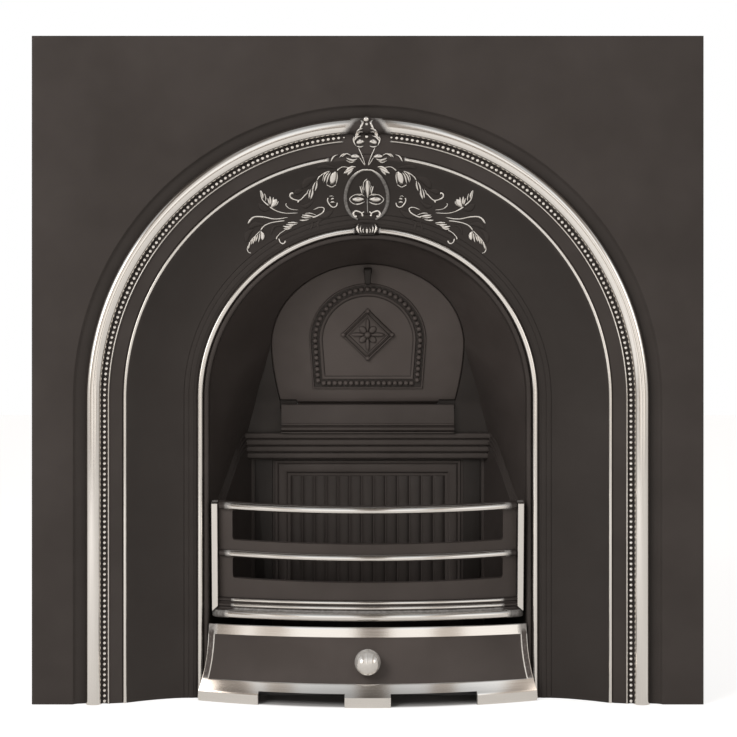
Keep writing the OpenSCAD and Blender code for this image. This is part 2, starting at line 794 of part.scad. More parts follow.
// Plan of the fire front's room: the ledge's width, then the cheeks' inner faces
module ledge_plan() {
    y0 = flange_y + (cheek_in_x - ledge_half_w) / cheek_slope;
    polygon([[-ledge_half_w, -20], [ledge_half_w, -20], [ledge_half_w, y0], [cheek_x(wall_y), wall_y],
             [-cheek_x(wall_y), wall_y], [-ledge_half_w, y0]]);
}

module bar_frame() color(iron) difference() {
    roll_r = 6;
    union() {
        intersection() {
            union() {
                bowed(bow_r, fret_y, ledge_half_w)
                    polygon(concat(
                        [[-ledge_deep, ledge_foot_z]],
                        nose(10, ledge_foot_z + roll_r, roll_r),
                        [[7, ledge_foot_z + 13]],
                        nose(5, ledge_z - 9.5, 2.3),
                        [[3, ledge_z - 6.2]],
                        nose(2, ledge_z - 2.6, 2.3),
                        [[-ledge_deep, ledge_z]]));
                for (side = [0, 1])
                    mirror([side, 0, 0])
                        translate([ear_in_x, flange_y + 1, ledge_foot_z + 1])
                            cube([ledge_half_w, ear_back_y - flange_y - 1, ear_h]);
            }
            linear_extrude(plate_h)
                ledge_plan();
        }
        posts();
    }
    for (side = [0, 1])
        mirror([side, 0, 0])
            cheek_rod(screw_r, ear_screw, -screw_grip, 1);
}

// Polished side posts, each with a web behind the ends of the bars
module posts() {
    post_front_y = bow_end - 12;
    post_foot = ledge_z - ledge_foot_z - 6;
    post_set = 0.5;
    web_w = 22;
    for (side = [0, 1])
        mirror([side, 0, 0])
            fret_plane() {
                translate([ledge_half_w - post_w, post_front_y, -post_foot])
                    cube([post_w - post_set, web_y + web_t - post_front_y, bars_h + post_foot]);
                translate([ledge_half_w - web_w, web_y, -2])
                    cube([web_w - 2 * post_set, web_t, bars_h - 20]);
            }
}

// The leaning plane of the bars: y back from the middle of the bow, z up the posts
module fret_plane() {
    translate([0, fret_y, ledge_z])
        rotate([fret_lean, 0, 0])
            children();
}

window_half_w = fret_half_w - end_strip_w;
mid_top_v = mid_bar_v + mid_bar_h / 2 + 15;
mid_foot_v = mid_bar_v - mid_bar_h / 2 - 1;
window_r = 4.3;
module fire_front() color(iron) difference() {
    intersection() {
        fret_plane()
            bowed(bow_r, 0, fret_half_w) {
                translate([-fret_t, -10])
                    square([fret_t, bars_h + 10]);
                for (bar = [[bars_h - top_bar_h / 2, top_bar_h], [mid_bar_v, mid_bar_h]])
                    polygon([for (a = [-90:15:90]) [6.5 * cos(a) - tiny, bar[0] + bar[1] / 2 * sin(a)]]);
            }
        translate([-fret_half_w, -bow_r, ledge_z + 0.2])
            cube([2 * fret_half_w, 2 * bow_r, plate_h]);
    }
    for (w = [[low_plate_h, mid_foot_v], [mid_top_v, bars_h - top_bar_h]])
        fret_plane()
            translate([-window_half_w, bow_end + fret_t + ledge_deep, w[0]])
                rotate([90, 0, 0])
                    linear_extrude(bow_end + fret_t + 2 * ledge_deep)
                        round_rect(2 * window_half_w, w[1] - w[0], window_r);
}

module grate_bearers() color(iron)
    for (side = [0, 1])
        mirror([side, 0, 0])
            difference() {
                y0 = ear_back_y + 2;
                translate([0, 0, grate_foot - bearer_t])
                    linear_extrude(bearer_t)
                        polygon([[cheek_x(y0) - bearer_w, y0], [cheek_x(y0), y0],
                                 [cheek_x(back_y), back_y], [cheek_x(back_y) - bearer_w, back_y]]);
                for (p = bearer_screws)
                    cheek_rod(screw_r, p, -screw_grip, 1);
            }

// Screws from outside through the cheeks, into the ledge's ears and the bearers
module cheek_screws() color(steel)
    for (side = [0, 1], p = concat([ear_screw], bearer_screws))
        mirror([side, 0, 0]) {
            cheek_rod(screw_r, p, -screw_grip, hood_wall + 1);
            cheek_rod(screw_r * 1.8, p, hood_wall, hood_wall + 3);
        }

module bottom_grate() color(iron) difference() {
    intersection() {
        between_cheeks(4, grate_foot, grate_top);
        translate([-plate_w / 2, 0, 0])
            cube([plate_w, wall_y + 4, plate_h]);
        translate([0, fret_y + bow_r, 0])
            cylinder(r = bow_r - ledge_deep - 3, h = ledge_z, $fn = 360);
    }
    for (side = [-1, 1])
        translate([side * (ear_in_x + 44) - 50, 0, 0])
            cube([100, ear_back_y + 3, ledge_z]);
    for (i = [-6:6])
        translate([i * grate_pitch - grate_slot_w / 2, fret_y + web_y, grate_foot - 1])
            cube([grate_slot_w, wall_y - 12 - fret_y - web_y, grate_t + 2]);
}

// The flared shell of the ashpan cover, its front face moved back by d
module cover_shell(d) {
    steps = 14;
    face = [for (i = [0:steps]) let (z = cover_h * i / steps) [flare(z) - d, z]];
    half = asin(cover_half_w / cover_bow_r);
    translate([0, cover_yc, 0])
        rotate([0, 0, -90 - half])
            rotate_extrude(angle = 2 * half, $fn = 360)
                translate([cover_bow_r, 0])
                    polygon(concat(face, [for (p = reversed(face)) [p[0] - cover_wall, p[1]]]));
}
module ashpan_cover() color(polish) difference() {
    union() {
        cover_shell(0);
        rod_y(8, cover_face_y - knob_neck, cover_face_y + cover_wall + 1, 0, knob_z);
    }
    for (side = [-1, 1])
        translate([side > 0 ? slot_in : -slot_out, -60, -1])
            cube([slot_out - slot_in, 120, slot_h + 1]);
    rod_y(screw_r + bolt_fit / 2, cover_face_y - 20, cover_face_y + 40, 0, knob_z);
}

washer_y = cover_face_y + cover_wall + 1;
knob_seat = cover_face_y - knob_neck - knob_y;
module ashpan_knob() color(polish) difference() {
    seat_a = asin(knob_seat / knob_r);
    translate([0, knob_y, knob_z])
        rotate([-90, 0, 0])
            rotate_extrude($fn = fine)
                polygon(concat([[0, knob_seat]],
                    [for (i = [0:20]) let (a = seat_a - i * (90 + seat_a) / 20)
                        [knob_r * cos(a), knob_r * sin(a)]]));
    rod_y(screw_r, knob_y, knob_y + knob_r + 1, 0, knob_z);
}

module knob_screw() color(steel) {
    rod_y(screw_r, knob_y + 1, washer_y + 2, 0, knob_z);
    rod_y(screw_r * 1.8, washer_y + 1.5, washer_y + 4.5, 0, knob_z);
}

module knob_washer() color(steel) difference() {
    rod_y(screw_r * 2.4, washer_y, washer_y + 1.5, 0, knob_z);
    rod_y(screw_r + 0.2, washer_y - 1, washer_y + 3, 0, knob_z);
}

module ash_pan() color(steel) {
    difference() {
        translate([-pan_half_w, pan_y, 0])
            cube([2 * pan_half_w, pan_deep, pan_h]);
        translate([pan_gauge - pan_half_w, pan_y + pan_gauge, pan_gauge])
            cube([2 * (pan_half_w - pan_gauge), pan_deep - 2 * pan_gauge, pan_h]);
    }
    // folded lip along the front
    translate([-pan_half_w, pan_y - 8, pan_h - pan_gauge])
        cube([2 * pan_half_w, 8 + tiny, pan_gauge]);
}

// Bent wire pull on the front of the pan
pull_half_w = 30;
pull_r = 2.5;
pull_z = pan_h * 0.55;
module ash_pan_pull() color(steel) {
    for (side = [-1, 1])
        rod_y(pull_r, pan_y - 12, pan_y, side * pull_half_w, pull_z);
    rod_x(pull_r, -pull_half_w, pull_half_w, pan_y - 12, pull_z);
    for (side = [-1, 1])
        translate([side * pull_half_w, pan_y - 12, pull_z])
            sphere(pull_r, $fn = 24);
}

module rope_seal() color([0.85, 0.84, 0.8])
    arch_sweep()
        translate([opening_r + roll_w + 2, -flange_y])
            square([8, seal_t]);

module flange_studs() color(steel)
    for (p = flange_places)
        rod_y(stud_r, plate_back_y - stud_deep, washer_back_y + nut_h + bolt_end, p[0], p[1]);

washer_back_y = flange_y + flange_t + washer_h;
module flange_washers() color(steel)
    for (p = flange_places)
        difference() {
            rod_y(stud_r * 2, flange_y + flange_t, washer_back_y, p[0], p[1]);
            rod_y(stud_r + 0.3, flange_y + flange_t - 1, washer_back_y + 1, p[0], p[1]);
        }

module flange_nuts() color(steel)
    for (p = flange_places)
        difference() {
            hex_y(nut_af, washer_back_y, washer_back_y + nut_h, p[0], p[1]);
            rod_y(stud_r, flange_y + flange_t, washer_back_y + nut_h + 1, p[0], p[1]);
        }

bracket_bolt_x = bracket_x - bracket_t - (bracket_base - bracket_t) / 2;
bracket_places = [for (side = [-1, 1], z = [bracket_low_z, bracket_high_z])
    [side * bracket_bolt_x, z]];
module fixing_brackets() color(steel)
    for (side = [-1, 1], z = [bracket_low_z, bracket_high_z])
        mirror([side < 0 ? 1 : 0, 0, 0])
            difference() {
                union() {
                    translate([bracket_x - bracket_base, plate_t, z - bracket_w / 2])
                        cube([bracket_base, bracket_t, bracket_w]);
                    translate([bracket_x - bracket_t, plate_t, z - bracket_w / 2])
                        cube([bracket_t, bracket_leg, bracket_w]);
                }
                rod_y(stud_r + bolt_fit, plate_t - 1, plate_t + bracket_t + 1, bracket_bolt_x, z);
                translate([bracket_x - bracket_t - 1, bracket_y, z])
                    rotate([0, 90, 0])
                        cylinder(r = bracket_hole_r, h = bracket_t + 2, $fn = 48);
            }

module bracket_bolts() color(steel)
    for (p = bracket_places)
        rod_y(stud_r, plate_t - bolt_deep, plate_t + bracket_t + nut_h + bolt_end, p[0], p[1]);

module bracket_nuts() color(steel)
    for (p = bracket_places)
        difference() {
            hex_y(nut_af, plate_t + bracket_t, plate_t + bracket_t + nut_h, p[0], p[1]);
            rod_y(stud_r, plate_t, plate_t + bracket_t + nut_h + 1, p[0], p[1]);
        }

front_plate();
hood();
damper_door();
damper_handle();
damper_pins();
lintel();
lintel_screws();
fireback();
left_cheek();
right_cheek();
back_bolts();
back_nuts();
bar_frame();
fire_front();
grate_bearers();
bottom_grate();
ashpan_cover();
ashpan_knob();
knob_screw();
knob_washer();
ash_pan();
ash_pan_pull();
rope_seal();
flange_studs();
flange_washers();
flange_nuts();
fixing_brackets();
bracket_bolts();
bracket_nuts();
cheek_screws();
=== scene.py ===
"""Arched cast iron fireplace insert: the looks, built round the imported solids.

Sizes are in millimetres, with the origin on the hearth under the centre of the plate's front face,
+X to the right, +Y back into the chimney and +Z up. build() turns them into metres.
"""
import json
import math

import bmesh
import bpy
import numpy as np
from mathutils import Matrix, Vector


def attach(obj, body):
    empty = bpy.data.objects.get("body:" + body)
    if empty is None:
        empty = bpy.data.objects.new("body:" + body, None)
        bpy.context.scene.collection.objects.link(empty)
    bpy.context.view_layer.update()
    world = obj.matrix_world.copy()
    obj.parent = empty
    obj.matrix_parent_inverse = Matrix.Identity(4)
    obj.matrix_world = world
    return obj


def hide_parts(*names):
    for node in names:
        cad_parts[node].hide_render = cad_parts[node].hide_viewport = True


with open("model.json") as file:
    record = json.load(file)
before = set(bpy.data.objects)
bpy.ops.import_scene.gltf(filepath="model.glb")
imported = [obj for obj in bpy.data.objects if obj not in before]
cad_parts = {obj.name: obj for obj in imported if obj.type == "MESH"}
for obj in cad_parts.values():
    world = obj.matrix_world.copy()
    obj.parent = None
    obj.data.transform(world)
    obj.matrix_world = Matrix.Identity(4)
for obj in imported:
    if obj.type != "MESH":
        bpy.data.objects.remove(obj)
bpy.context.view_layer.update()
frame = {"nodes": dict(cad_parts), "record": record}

# ---------------------------------------------------------------- sizes, as in the part's source
PLATE_HALF_W, PLATE_H, PLATE_T = 483.5, 962.0, 8.0
RIM_W, RIM_DEEP, RIM_ROUND = 10.0, 16.0, 2.5
SPRING_Z = 438.0
OPENING_R = 231.0
INNER_Y, FIELD_Y = 46.0, 13.0
PLATE_BACK_Y, LIP_Y, SEAL_Y = 55.0, 58.0, 59.0
FLANGE_R, FLANGE_T = 270.4, 7.0
WALL_Y, CHEEK_FRONT_X, CHEEK_BACK_X = 190.0, 232.0, 184.0
HOOD_WALL = 6.0
SEAM_FRONT_Z, CORNICE_Z = 276.0, 376.0
FLAP_LEAN, FLAP_Z = math.radians(13.0), 421.3
FLAP_HALF_W, FLAP_FOOT_W, FLAP_WAIST, FLAP_CROWN = 146.2, 132.3, 91.9, 125.9
FLAP_GAP, NOTCH_X, BARREL_R, HINGE_D, SILL_D = 1.2, 107.6, 6.0, 12.0, 14.5
LUG_X, LUG_W, LUG_R, LUG_DROP, SILL_FOOT_Z, SILL_TOP_Z = 108.0, 29.0, 7.5, 36.0, 411.0, 416.4
STRAP_V, FLOWER_V, FLAP_BEAD_R, FLAP_BEAD_PITCH = 204.8, 108.3, 4.2, 8.9
BACK_Y, BACK_T, BACK_HALF_W = 205.0, 8.0, 212.5
REEDS, REED_PITCH, PANEL_FRAME_W = 13, 18.3, 23.8
PANEL_FOOT_Z, PANEL_TOP_Z, CORNICE_ROW = 116.0, 333.0, 10.4
LINTEL_HALF_W, LINTEL_T = 131.4, 12.0
BOW_R, FRET_Y, FRET_LEAN, LEDGE_Z, LEDGE_HALF_W = 640.0, 14.0, math.radians(5.5), 147.0, 227.5
BARS_H, WINDOW_HALF_W, POST_W, POST_D, POST_Y = 137.6, 196.9, 9.6, 27.0, 39.4
COVER_H, COVER_Y, COVER_FLARE, COVER_RIM, COVER_T = 109.8, 3.0, 27.5, 14.0, 5.0
COVER_TOP_HALF_W, COVER_SPREAD, PANEL_SUNK = 231.6, 14.4, 1.2
SLOT_IN, SLOT_OUT, SLOT_H = 33.0, 158.0, 19.0
KNOB_R, KNOB_Y, KNOB_Z, NECK_Y = 19.0, -20.75, 64.5, -3.75
CHEEK_SLOPE = (CHEEK_FRONT_X - CHEEK_BACK_X) / (WALL_Y - SEAL_Y)
ORNAMENT_X = -1.5
# the two great rounds: middle radius, half width, depth of the foot, rise and fullness
BULLNOSE, INNER_BAR = (394.8, 11.0, 5.6, 11.6, 0.82), (244.7, 4.3, 46.8, 4.8, 1.0)
BEAD_ROW_R, BEAD_Y, BEAD_R, BEAD_PITCH, BEAD_FOOT_Z = 379.5, 6.4, 2.95, 7.6, 4
# bands that change near the crown: two radii, the two distances from the centre line over which the
# polish grows, and the depth that the band sinks to
CROWN_BANDS = ((370, 377, 33, 38, 7.4), (347.9, 353.2, 53, 59, 12.4), (240, 249, 16, 22, None))


def cheek_x(y):
    """Half width between the cheeks' inner faces at depth y: it falls evenly from front to back."""
    return CHEEK_FRONT_X - CHEEK_SLOPE * (y - SEAL_Y)


def swag_z(y):
    """Height of the cheek's top edge: half a cosine wave, from the front seam up to the cornice."""
    t = np.clip((y - SEAL_Y) / (WALL_Y - SEAL_Y), 0, 1)
    return SEAM_FRONT_Z + (CORNICE_Z - SEAM_FRONT_Z) * (1 - np.cos(np.pi * t)) / 2


def smooth(low, high, x):
    """Eases from 0 at low to 1 at high."""
    t = np.clip((x - low) / (high - low), 0, 1)
    return t * t * (3 - 2 * t)


def xyz(*parts):
    """Points whose coordinates are the given parts, spread to one shape."""
    return np.stack(np.broadcast_arrays(*parts), -1)


def circle(n):
    """Cosines and sines at n even steps round a circle."""
    a = np.linspace(0, 2 * np.pi, n, endpoint=False)
    return np.cos(a), np.sin(a)


def leaning(x, y, v, front_y, foot_z, lean):
    """Points of a plane that leans forward by an angle: x across, y into it and v up it."""
    c, s = math.cos(lean), math.sin(lean)
    return xyz(x, front_y + y * c - v * s, foot_z + y * s + v * c)


# ---------------------------------------------------------------- gathering and building meshes
class Form:
    """Points and faces gathered for one piece. rub is how bright the metal is rubbed at each point, from
    1, polished, through 0, black, to -1, black darkened by painted shade; lay is (along, across) in mm for
    the polishing marks."""

    def __init__(self):
        self.points, self.faces, self.rub, self.lay, self.count = [], [], [], [], 0

    def add(self, points, faces, rub=0.0, lay=None):
        """Adds points and their faces, whose numbers start from these points' first one."""
        points = np.asarray(points, float).reshape(-1, 3)
        n = len(points)
        self.points.append(points)
        self.faces += [np.asarray(f) + self.count for f in faces]
        self.rub.append(np.broadcast_to(np.asarray(rub, float).ravel(), (n,)))
        self.lay.append(points[:, [0, 2]] if lay is None else np.asarray(lay, float).reshape(-1, 2))
        self.count += n


def quads(n, m, wrap_u=False, wrap_v=False):
    """The four-sided faces of an n by m table of points; wrap joins the last row or column to the first."""
    i, j = np.meshgrid(np.arange(n if wrap_u else n - 1), np.arange(m if wrap_v else m - 1), indexing="ij")
    i2, j2 = (i + 1) % n, (j + 1) % m
    return np.stack([i * m + j, i2 * m + j, i2 * m + j2, i * m + j2], -1).reshape(-1, 4)


def tube_faces(n, m):
    """Faces of a closed section of m points carried over n stations, with one face over each end."""
    return [quads(n, m, wrap_v=True), np.arange(m)[None], (n - 1) * m + np.arange(m)[None]]


def along(points):
    """Distance run along the first axis of a table of points, for the polishing marks."""
    step = np.linalg.norm(np.diff(points, axis=0), axis=-1)
    return np.concatenate([np.zeros_like(step[:1]), np.cumsum(step, axis=0)])


def lay_of(table):
    """Distance along and across a table of points."""
    return np.stack([along(table), along(np.swapaxes(table, 0, 1)).T], -1)


def add_tube(form, table, rub=0.0):
    """Adds a closed section carried along a path, given as a table of points [station, section]."""
    form.add(table, tube_faces(*table.shape[:2]), np.broadcast_to(rub, table.shape[:2]), lay_of(table))


def normals(table):
    """Unit normals of a table of points: the cross product of its two slopes."""
    n = np.cross(np.gradient(table, axis=0), np.gradient(table, axis=1))
    return n / np.maximum(np.linalg.norm(n, axis=-1, keepdims=True), 1e-9)


def add_shell(form, table, other, keep=None, rub=0.0):
    """Adds a closed shell between two tables of points of one shape; rub is for the first. Faces are
    left out where keep is False, and a wall closes each edge that only one kept face uses."""
    n, m = table.shape[:2]
    face = quads(n, m)
    if keep is not None:
        face = face[keep.ravel()]
    edges = np.concatenate([face[:, [k, (k + 1) % 4]] for k in range(4)])
    key = np.sort(edges, axis=1)
    _, first, uses = np.unique(key[:, 0] * n * m + key[:, 1], return_index=True, return_counts=True)
    rim = edges[first[uses == 1]]
    wall = np.stack([rim[:, 0], rim[:, 1], rim[:, 1] + n * m, rim[:, 0] + n * m], -1)
    both = np.concatenate([table.reshape(-1, 3), other.reshape(-1, 3)])
    rubs = np.concatenate([np.broadcast_to(np.asarray(rub, float), (n, m)).ravel(), np.zeros(n * m)])
    lay = np.tile(lay_of(table).reshape(-1, 2), (2, 1))
    form.add(both, [face, face[:, ::-1] + n * m, wall], rubs, lay)


def placed(name, data):
    """A new object in the scene that shows the given data."""
    thing = bpy.data.objects.new(name, data)
    bpy.context.scene.collection.objects.link(thing)
    return thing


def build(name, form, material, body, replaces=(), sharp=38.0):
    """Makes the piece's mesh from a form, in metres: doubles merged, faces turned outwards, smooth
    shading broken at edges sharper than the given degrees."""
    points = np.concatenate(form.points) * 0.001
    starts = np.cumsum([0] + [n for f in form.faces for n in [f.shape[1]] * len(f)])[:-1]
    corners = np.concatenate([f.ravel() for f in form.faces])
    mesh = bpy.data.meshes.new(name)
    mesh.vertices.add(len(points))
    mesh.vertices.foreach_set("co", points.astype(np.float32).ravel())
    mesh.loops.add(len(corners))
    mesh.loops.foreach_set("vertex_index", corners.astype(np.int32))
    mesh.polygons.add(len(starts))
    mesh.polygons.foreach_set("loop_start", starts.astype(np.int32))
    mesh.update(calc_edges=True)
    rub = mesh.attributes.new("rub", "FLOAT", "POINT")
    rub.data.foreach_set("value", np.concatenate(form.rub).astype(np.float32))
    lay = np.concatenate(form.lay) * 0.001
    marks = mesh.attributes.new("lay", "FLOAT_VECTOR", "POINT")
    marks.data.foreach_set("vector", np.pad(lay, ((0, 0), (0, 1))).astype(np.float32).ravel())
    work = bmesh.new()
    work.from_mesh(mesh)
    bmesh.ops.remove_doubles(work, verts=work.verts, dist=2e-6)
    loose = [v for v in work.verts if not v.link_faces]
    bmesh.ops.delete(work, geom=loose, context="VERTS")
    bmesh.ops.recalc_face_normals(work, faces=work.faces)
    work.to_mesh(mesh)
    work.free()
    mesh.polygons.foreach_set("use_smooth", np.ones(len(mesh.polygons), bool))
    mesh.set_sharp_from_angle(angle=math.radians(sharp))
    piece = placed(name, mesh)
    mesh.materials.append(material)
    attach(piece, body)
    if replaces:
        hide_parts(*replaces)


def rounded(w, h, r):
    """A closed rectangle of width w and height h about the origin, its corners rounded by r."""
    a = np.linspace(0, np.pi / 2, 5)
    turns = [np.stack([sx * (w / 2 - r) + r * np.cos(a + q), sy * (h / 2 - r) + r * np.sin(a + q)], -1)
             for q, sx, sy in ((0, 1, 1), (np.pi / 2, -1, 1), (np.pi, -1, -1), (3 * np.pi / 2, 1, -1))]
    return np.concatenate(turns)


def add_box(form, low, high, bevel=0.8, rub=0.0):
    """Adds a box between two corners, its edges rounded: a rounded section in X and Z carried along Y,
    drawn in by the bevel at both ends."""
    low, high = np.asarray(low, float), np.asarray(high, float)
    size, mid = high - low, (low + high) / 2
    rows = [(low[1], bevel), (low[1] + bevel * 0.3, bevel * 0.3), (low[1] + bevel, 0),
            (high[1] - bevel, 0), (high[1] - bevel * 0.3, bevel * 0.3), (high[1], bevel)]
    table = []
    for y, inset in rows:
        section = rounded(size[0] - 2 * inset, size[2] - 2 * inset, max(bevel - inset * 0.6, 0.2))
        table.append(xyz(mid[0] + section[:, 0], y, mid[2] + section[:, 1]))
    add_tube(form, np.array(table), rub)


def add_side_box(form, side, x, y, z, rub=0.0):
    """Adds a box to the right, or mirrored to the left where side is -1, from a pair of edges each way."""
    low, high = sorted((side * x[0], side * x[1]))
    add_box(form, (low, y[0], z[0]), (high, y[1], z[1]), 0.8, rub)


def turned(radii, depths, z, sides):
    """Circles of the given radii at the given depths, turned about a line along Y at height z."""
    cos_a, sin_a = circle(sides)
    return xyz(radii[:, None] * cos_a, depths[:, None], z + radii[:, None] * sin_a)


def ball(rings, sides):
    """A ball of radius 1 about the origin as points and faces: circles of latitude, closed to a point at
    each pole."""
    a = np.linspace(0, np.pi, rings + 1)[1:-1, None]
    cos_b, sin_b = circle(sides)
    body = xyz(np.sin(a) * cos_b, np.cos(a), np.sin(a) * sin_b).reshape(-1, 3)
    points = np.concatenate([body, [[0, 1, 0], [0, -1, 0]]])
    first, last, k = np.arange(sides), (rings - 2) * sides + np.arange(sides), len(body)
    top = np.stack([first, np.roll(first, -1), np.full(sides, k)], -1)
    foot = np.stack([np.roll(last, -1), last, np.full(sides, k + 1)], -1)
    return points, [quads(rings - 1, sides, wrap_v=True), top, foot]


def add_balls(form, centres, radius, rub=1.0, rings=6, sides=10):
    """Adds one ball of the given radius, or radii, at each centre, as one array of points."""
    points, faces = ball(rings, sides)
    centres = np.asarray(centres, float).reshape(-1, 3)
    radii = np.broadcast_to(np.asarray(radius, float), (len(centres),))
    table = centres[:, None] + points[None] * radii[:, None, None]
    moved = [(f[None] + len(points) * np.arange(len(centres))[:, None, None]).reshape(-1, f.shape[1])
             for f in faces]
    form.add(table, moved, rub)


# ---------------------------------------------------------------- the arch and what follows it
def arch_stations(foot=0.0, extra=()):
    """Stations round the arch: up the left leg, round the half circle and down the right leg. Returns
    each station's centre height and its outward direction in X and Z."""
    turn = np.unique(np.concatenate([np.linspace(0, np.pi, 121), np.asarray(extra, float)]))
    leg = np.linspace(foot, SPRING_Z, 5)[:-1]
    height = np.concatenate([leg, np.full(len(turn), SPRING_Z), leg[::-1]])
    out_x = np.concatenate([np.full(4, -1.0), -np.cos(turn), np.full(4, 1.0)])
    out_z = np.concatenate([np.zeros(4), np.sin(turn), np.zeros(4)])
    return height, out_x, out_z


def on_arch(stations, radius, depth):
    """Points at a radius and depth, each [station, place in the section], round the arch."""
    height, out_x, out_z = (s[:, None] for s in stations)
    return xyz(out_x * radius, depth, height + out_z * radius)


def half_round(mid, half, base, rise, full=1.0, steps=14):
    """Points over a half ellipse, from its outer edge inwards, as (radius, depth). Its height is a power
    of the sine: a power below 1 makes the round fuller at its shoulders."""
    a = np.linspace(0, np.pi, steps + 1)
    return np.stack([mid + half * np.cos(a), base - rise * np.maximum(np.sin(a), 0) ** full], -1)


def field_curve():
    """The hollow splayed field, from its outer edge inwards: it falls fast at first and then flattens."""
    t = np.linspace(0, 1, 26)
    return np.stack([346.4 - t * 77.8, FIELD_Y + (INNER_Y - FIELD_Y) * (1 - (1 - t) ** 1.5)], -1)


def plate_section():
    """The arch's front section from the flat of the plate to the opening, as (radius, depth, how bright).
    A polished round is bright but for 7% of its way at each edge, and the cove, the field and the hollows by
    the inner bar are darkened with painted shade."""
    def bright(rows):
        """How bright each point of a polished round is."""
        t = np.linspace(0, 1, len(rows))
        return smooth(0.0, 0.07, np.minimum(t, 1 - t))

    cove = [(425.0, 0), (424.4, 0.2), (423.6, 0.8), (422.6, 2.0), (421.4, 3.2), (419.6, 4.3), (417.0, 5.2),
            (413.6, 6.0), (410.4, 6.9), (408.2, 7.6), (406.8, 7.8), (406.0, 7.0)]
    bull, bar = half_round(*BULLNOSE, steps=30), half_round(*INNER_BAR)
    fillet = half_round(373.5, 1.3, 6.2, 2.9, steps=8)
    middle = half_round(350.6, 2.7, 12.4, 3.2, steps=10)
    reeds = [half_round(mid, 3.5, 46.8, 0.5, steps=10) for mid in (264.7, 257.4)]
    # the negative values below are painted shade, deepening the black in the cove, the field and round the
    # reeds
    parts = ((cove, np.linspace(0, -0.7, len(cove))), (bull, bright(bull)),
             ([(383.4, 6.4), (382.6, 7.4), (381.2, 7.9), (377.8, 7.9), (376.4, 7.4), (375.6, 6.6)], 0),
             (fillet, bright(fillet)),
             ([(371.6, 6.8), (370.4, 7.2), (354.6, 10.9), (353.8, 12.0), (353.2, 12.6)], 0),
             (middle, bright(middle)), ([(347.8, 12.9), (347.0, 12.9)], 0), (field_curve(), -0.6),
             ([(268.3, 46.5), (268.2, 46.8)], -0.6), (reeds[0], -0.55), ([(261.1, 47.0)], -0.6),
             (reeds[1], -0.55), ([(253.8, 47.0), (253.2, 47.0), (250.2, 47.2), (249.3, 47.8)], -0.7),
             (bar, bright(bar)), ([(240.2, 48.4), (239.6, 49.0)], 0),
             (half_round(235.4, 3.8, 48.6, 3.8, steps=10), 0),
             ([(231.4, 49.4), (OPENING_R, 50.2), (OPENING_R, 54.0)], 0))
    return np.concatenate([np.column_stack([rows, np.broadcast_to(shine, len(rows))])
                           for rows, shine in parts])


def front_depth(radius):
    """Depth of the casting's face at a radius from the arch's centre, over the bullnose and the inner bar."""
    field = field_curve()[::-1]
    r = [231.0, 240.0, 249.0, 268.3, *field[:, 0], 347.5, 354.6, 371.0, 384.0, 394.8, 406.0, 413.0, 424.5]
    y = [48.0, 47.0, 47.0, 46.5, *field[:, 1], 12.0, 10.9, 7.0, 6.0, 5.6, 6.5, 5.8, 0.0]
    face = np.interp(radius, r, y)
    for mid, half, base, rise, full in (BULLNOSE, INNER_BAR):
        dome = base - rise * np.maximum(1 - ((radius - mid) / half) ** 2, 0) ** (full / 2)
        face = np.minimum(face, np.where(np.abs(radius - mid) < half, dome, 50))
    return face


def crown_gap(out_x, out_z, radius, start, full):
    """How bright a band is near the crown: 0 within start mm of the centre line and 1 past full mm."""
    across = np.where(out_z > 0.5, np.abs(out_x * radius - ORNAMENT_X), 1e3)
    return smooth(start, full, across)


def make_front_plate(iron):
    """The fascia: one closed section carried round the arch. Its front runs from the plate's rounded outer
    rim over the flat to the arch's mouldings and the opening, and its rear runs back."""
    corner = math.atan2(PLATE_H - SPRING_Z, PLATE_HALF_W)
    crown = np.linspace(np.pi / 2 - 0.21, np.pi / 2 + 0.21, 64)
    stations = arch_stations(extra=(corner, np.pi - corner, *crown))
    height, out_x, out_z = stations
    reach = np.minimum(PLATE_HALF_W / np.maximum(np.abs(out_x), 1e-6),
                       (PLATE_H - SPRING_Z) / np.maximum(out_z, 1e-6))
    edge_x, edge_z = out_x * reach, height + out_z * reach

    def rim(inset, depth):
        """The outer edge's points drawn in by inset, at a depth."""
        x = np.clip(edge_x, inset - PLATE_HALF_W, PLATE_HALF_W - inset)
        return xyz(x, depth, np.minimum(edge_z, PLATE_H - inset))

    outside = [rim(RIM_W, PLATE_T), rim(RIM_W, RIM_DEEP), rim(0.6, RIM_DEEP), rim(0, RIM_DEEP - 0.6)]
    outside += [rim(RIM_ROUND * (1 - np.cos(a)), RIM_ROUND * (1 - np.sin(a)))
                for a in np.linspace(0, np.pi / 2, 6)] + [rim(6.0, 0.0)]
    section = plate_section()
    ring = section[:, 0]
    depth, shine = (np.tile(section[:, k], (len(height), 1)) for k in (1, 2))
    # near the crown the fillet and the middle round die away, and the inner bar is left dull
    for low, high, start, full, base in CROWN_BANDS:
        band = (ring > low) & (ring < high)
        gap = crown_gap(out_x, out_z, (low + high) / 2, start, full)[:, None]
        shine[:, band] *= gap
        if base:
            depth[:, band] = base + (depth[:, band] - base) * gap
    # the bullnose's polish narrows to a point by the crown, at its outer edge
    band = (ring > 383) & (ring < 407)
    gone = crown_gap(out_x, out_z, 395.0, 6, 48)[:, None]
    inward = (406 - ring[None, band]) / 22
    shine[:, band] *= smooth(-0.55, 0.60, gone * 1.65 - 0.20 - inward)
    front = on_arch(stations, ring[None], depth)
    field = field_curve()[::-1]
    rear_r = np.array([OPENING_R, 239.0, 239.0, 268.4, *field[:, 0], 374.9, 405.5, 430.5])
    rear_y = np.array([LIP_Y, LIP_Y, PLATE_BACK_Y, PLATE_BACK_Y, *(field[:, 1] + 8), 12.5, 12.5, PLATE_T])
    rear = on_arch(stations, rear_r[None], rear_y[None])
    form = Form()
    add_tube(form, np.concatenate([np.stack(outside, 1), front, rear], 1),
             np.pad(shine, ((0, 0), (len(outside), len(rear_r)))))
    build("fascia", form, iron, "casing", ["front_plate"])


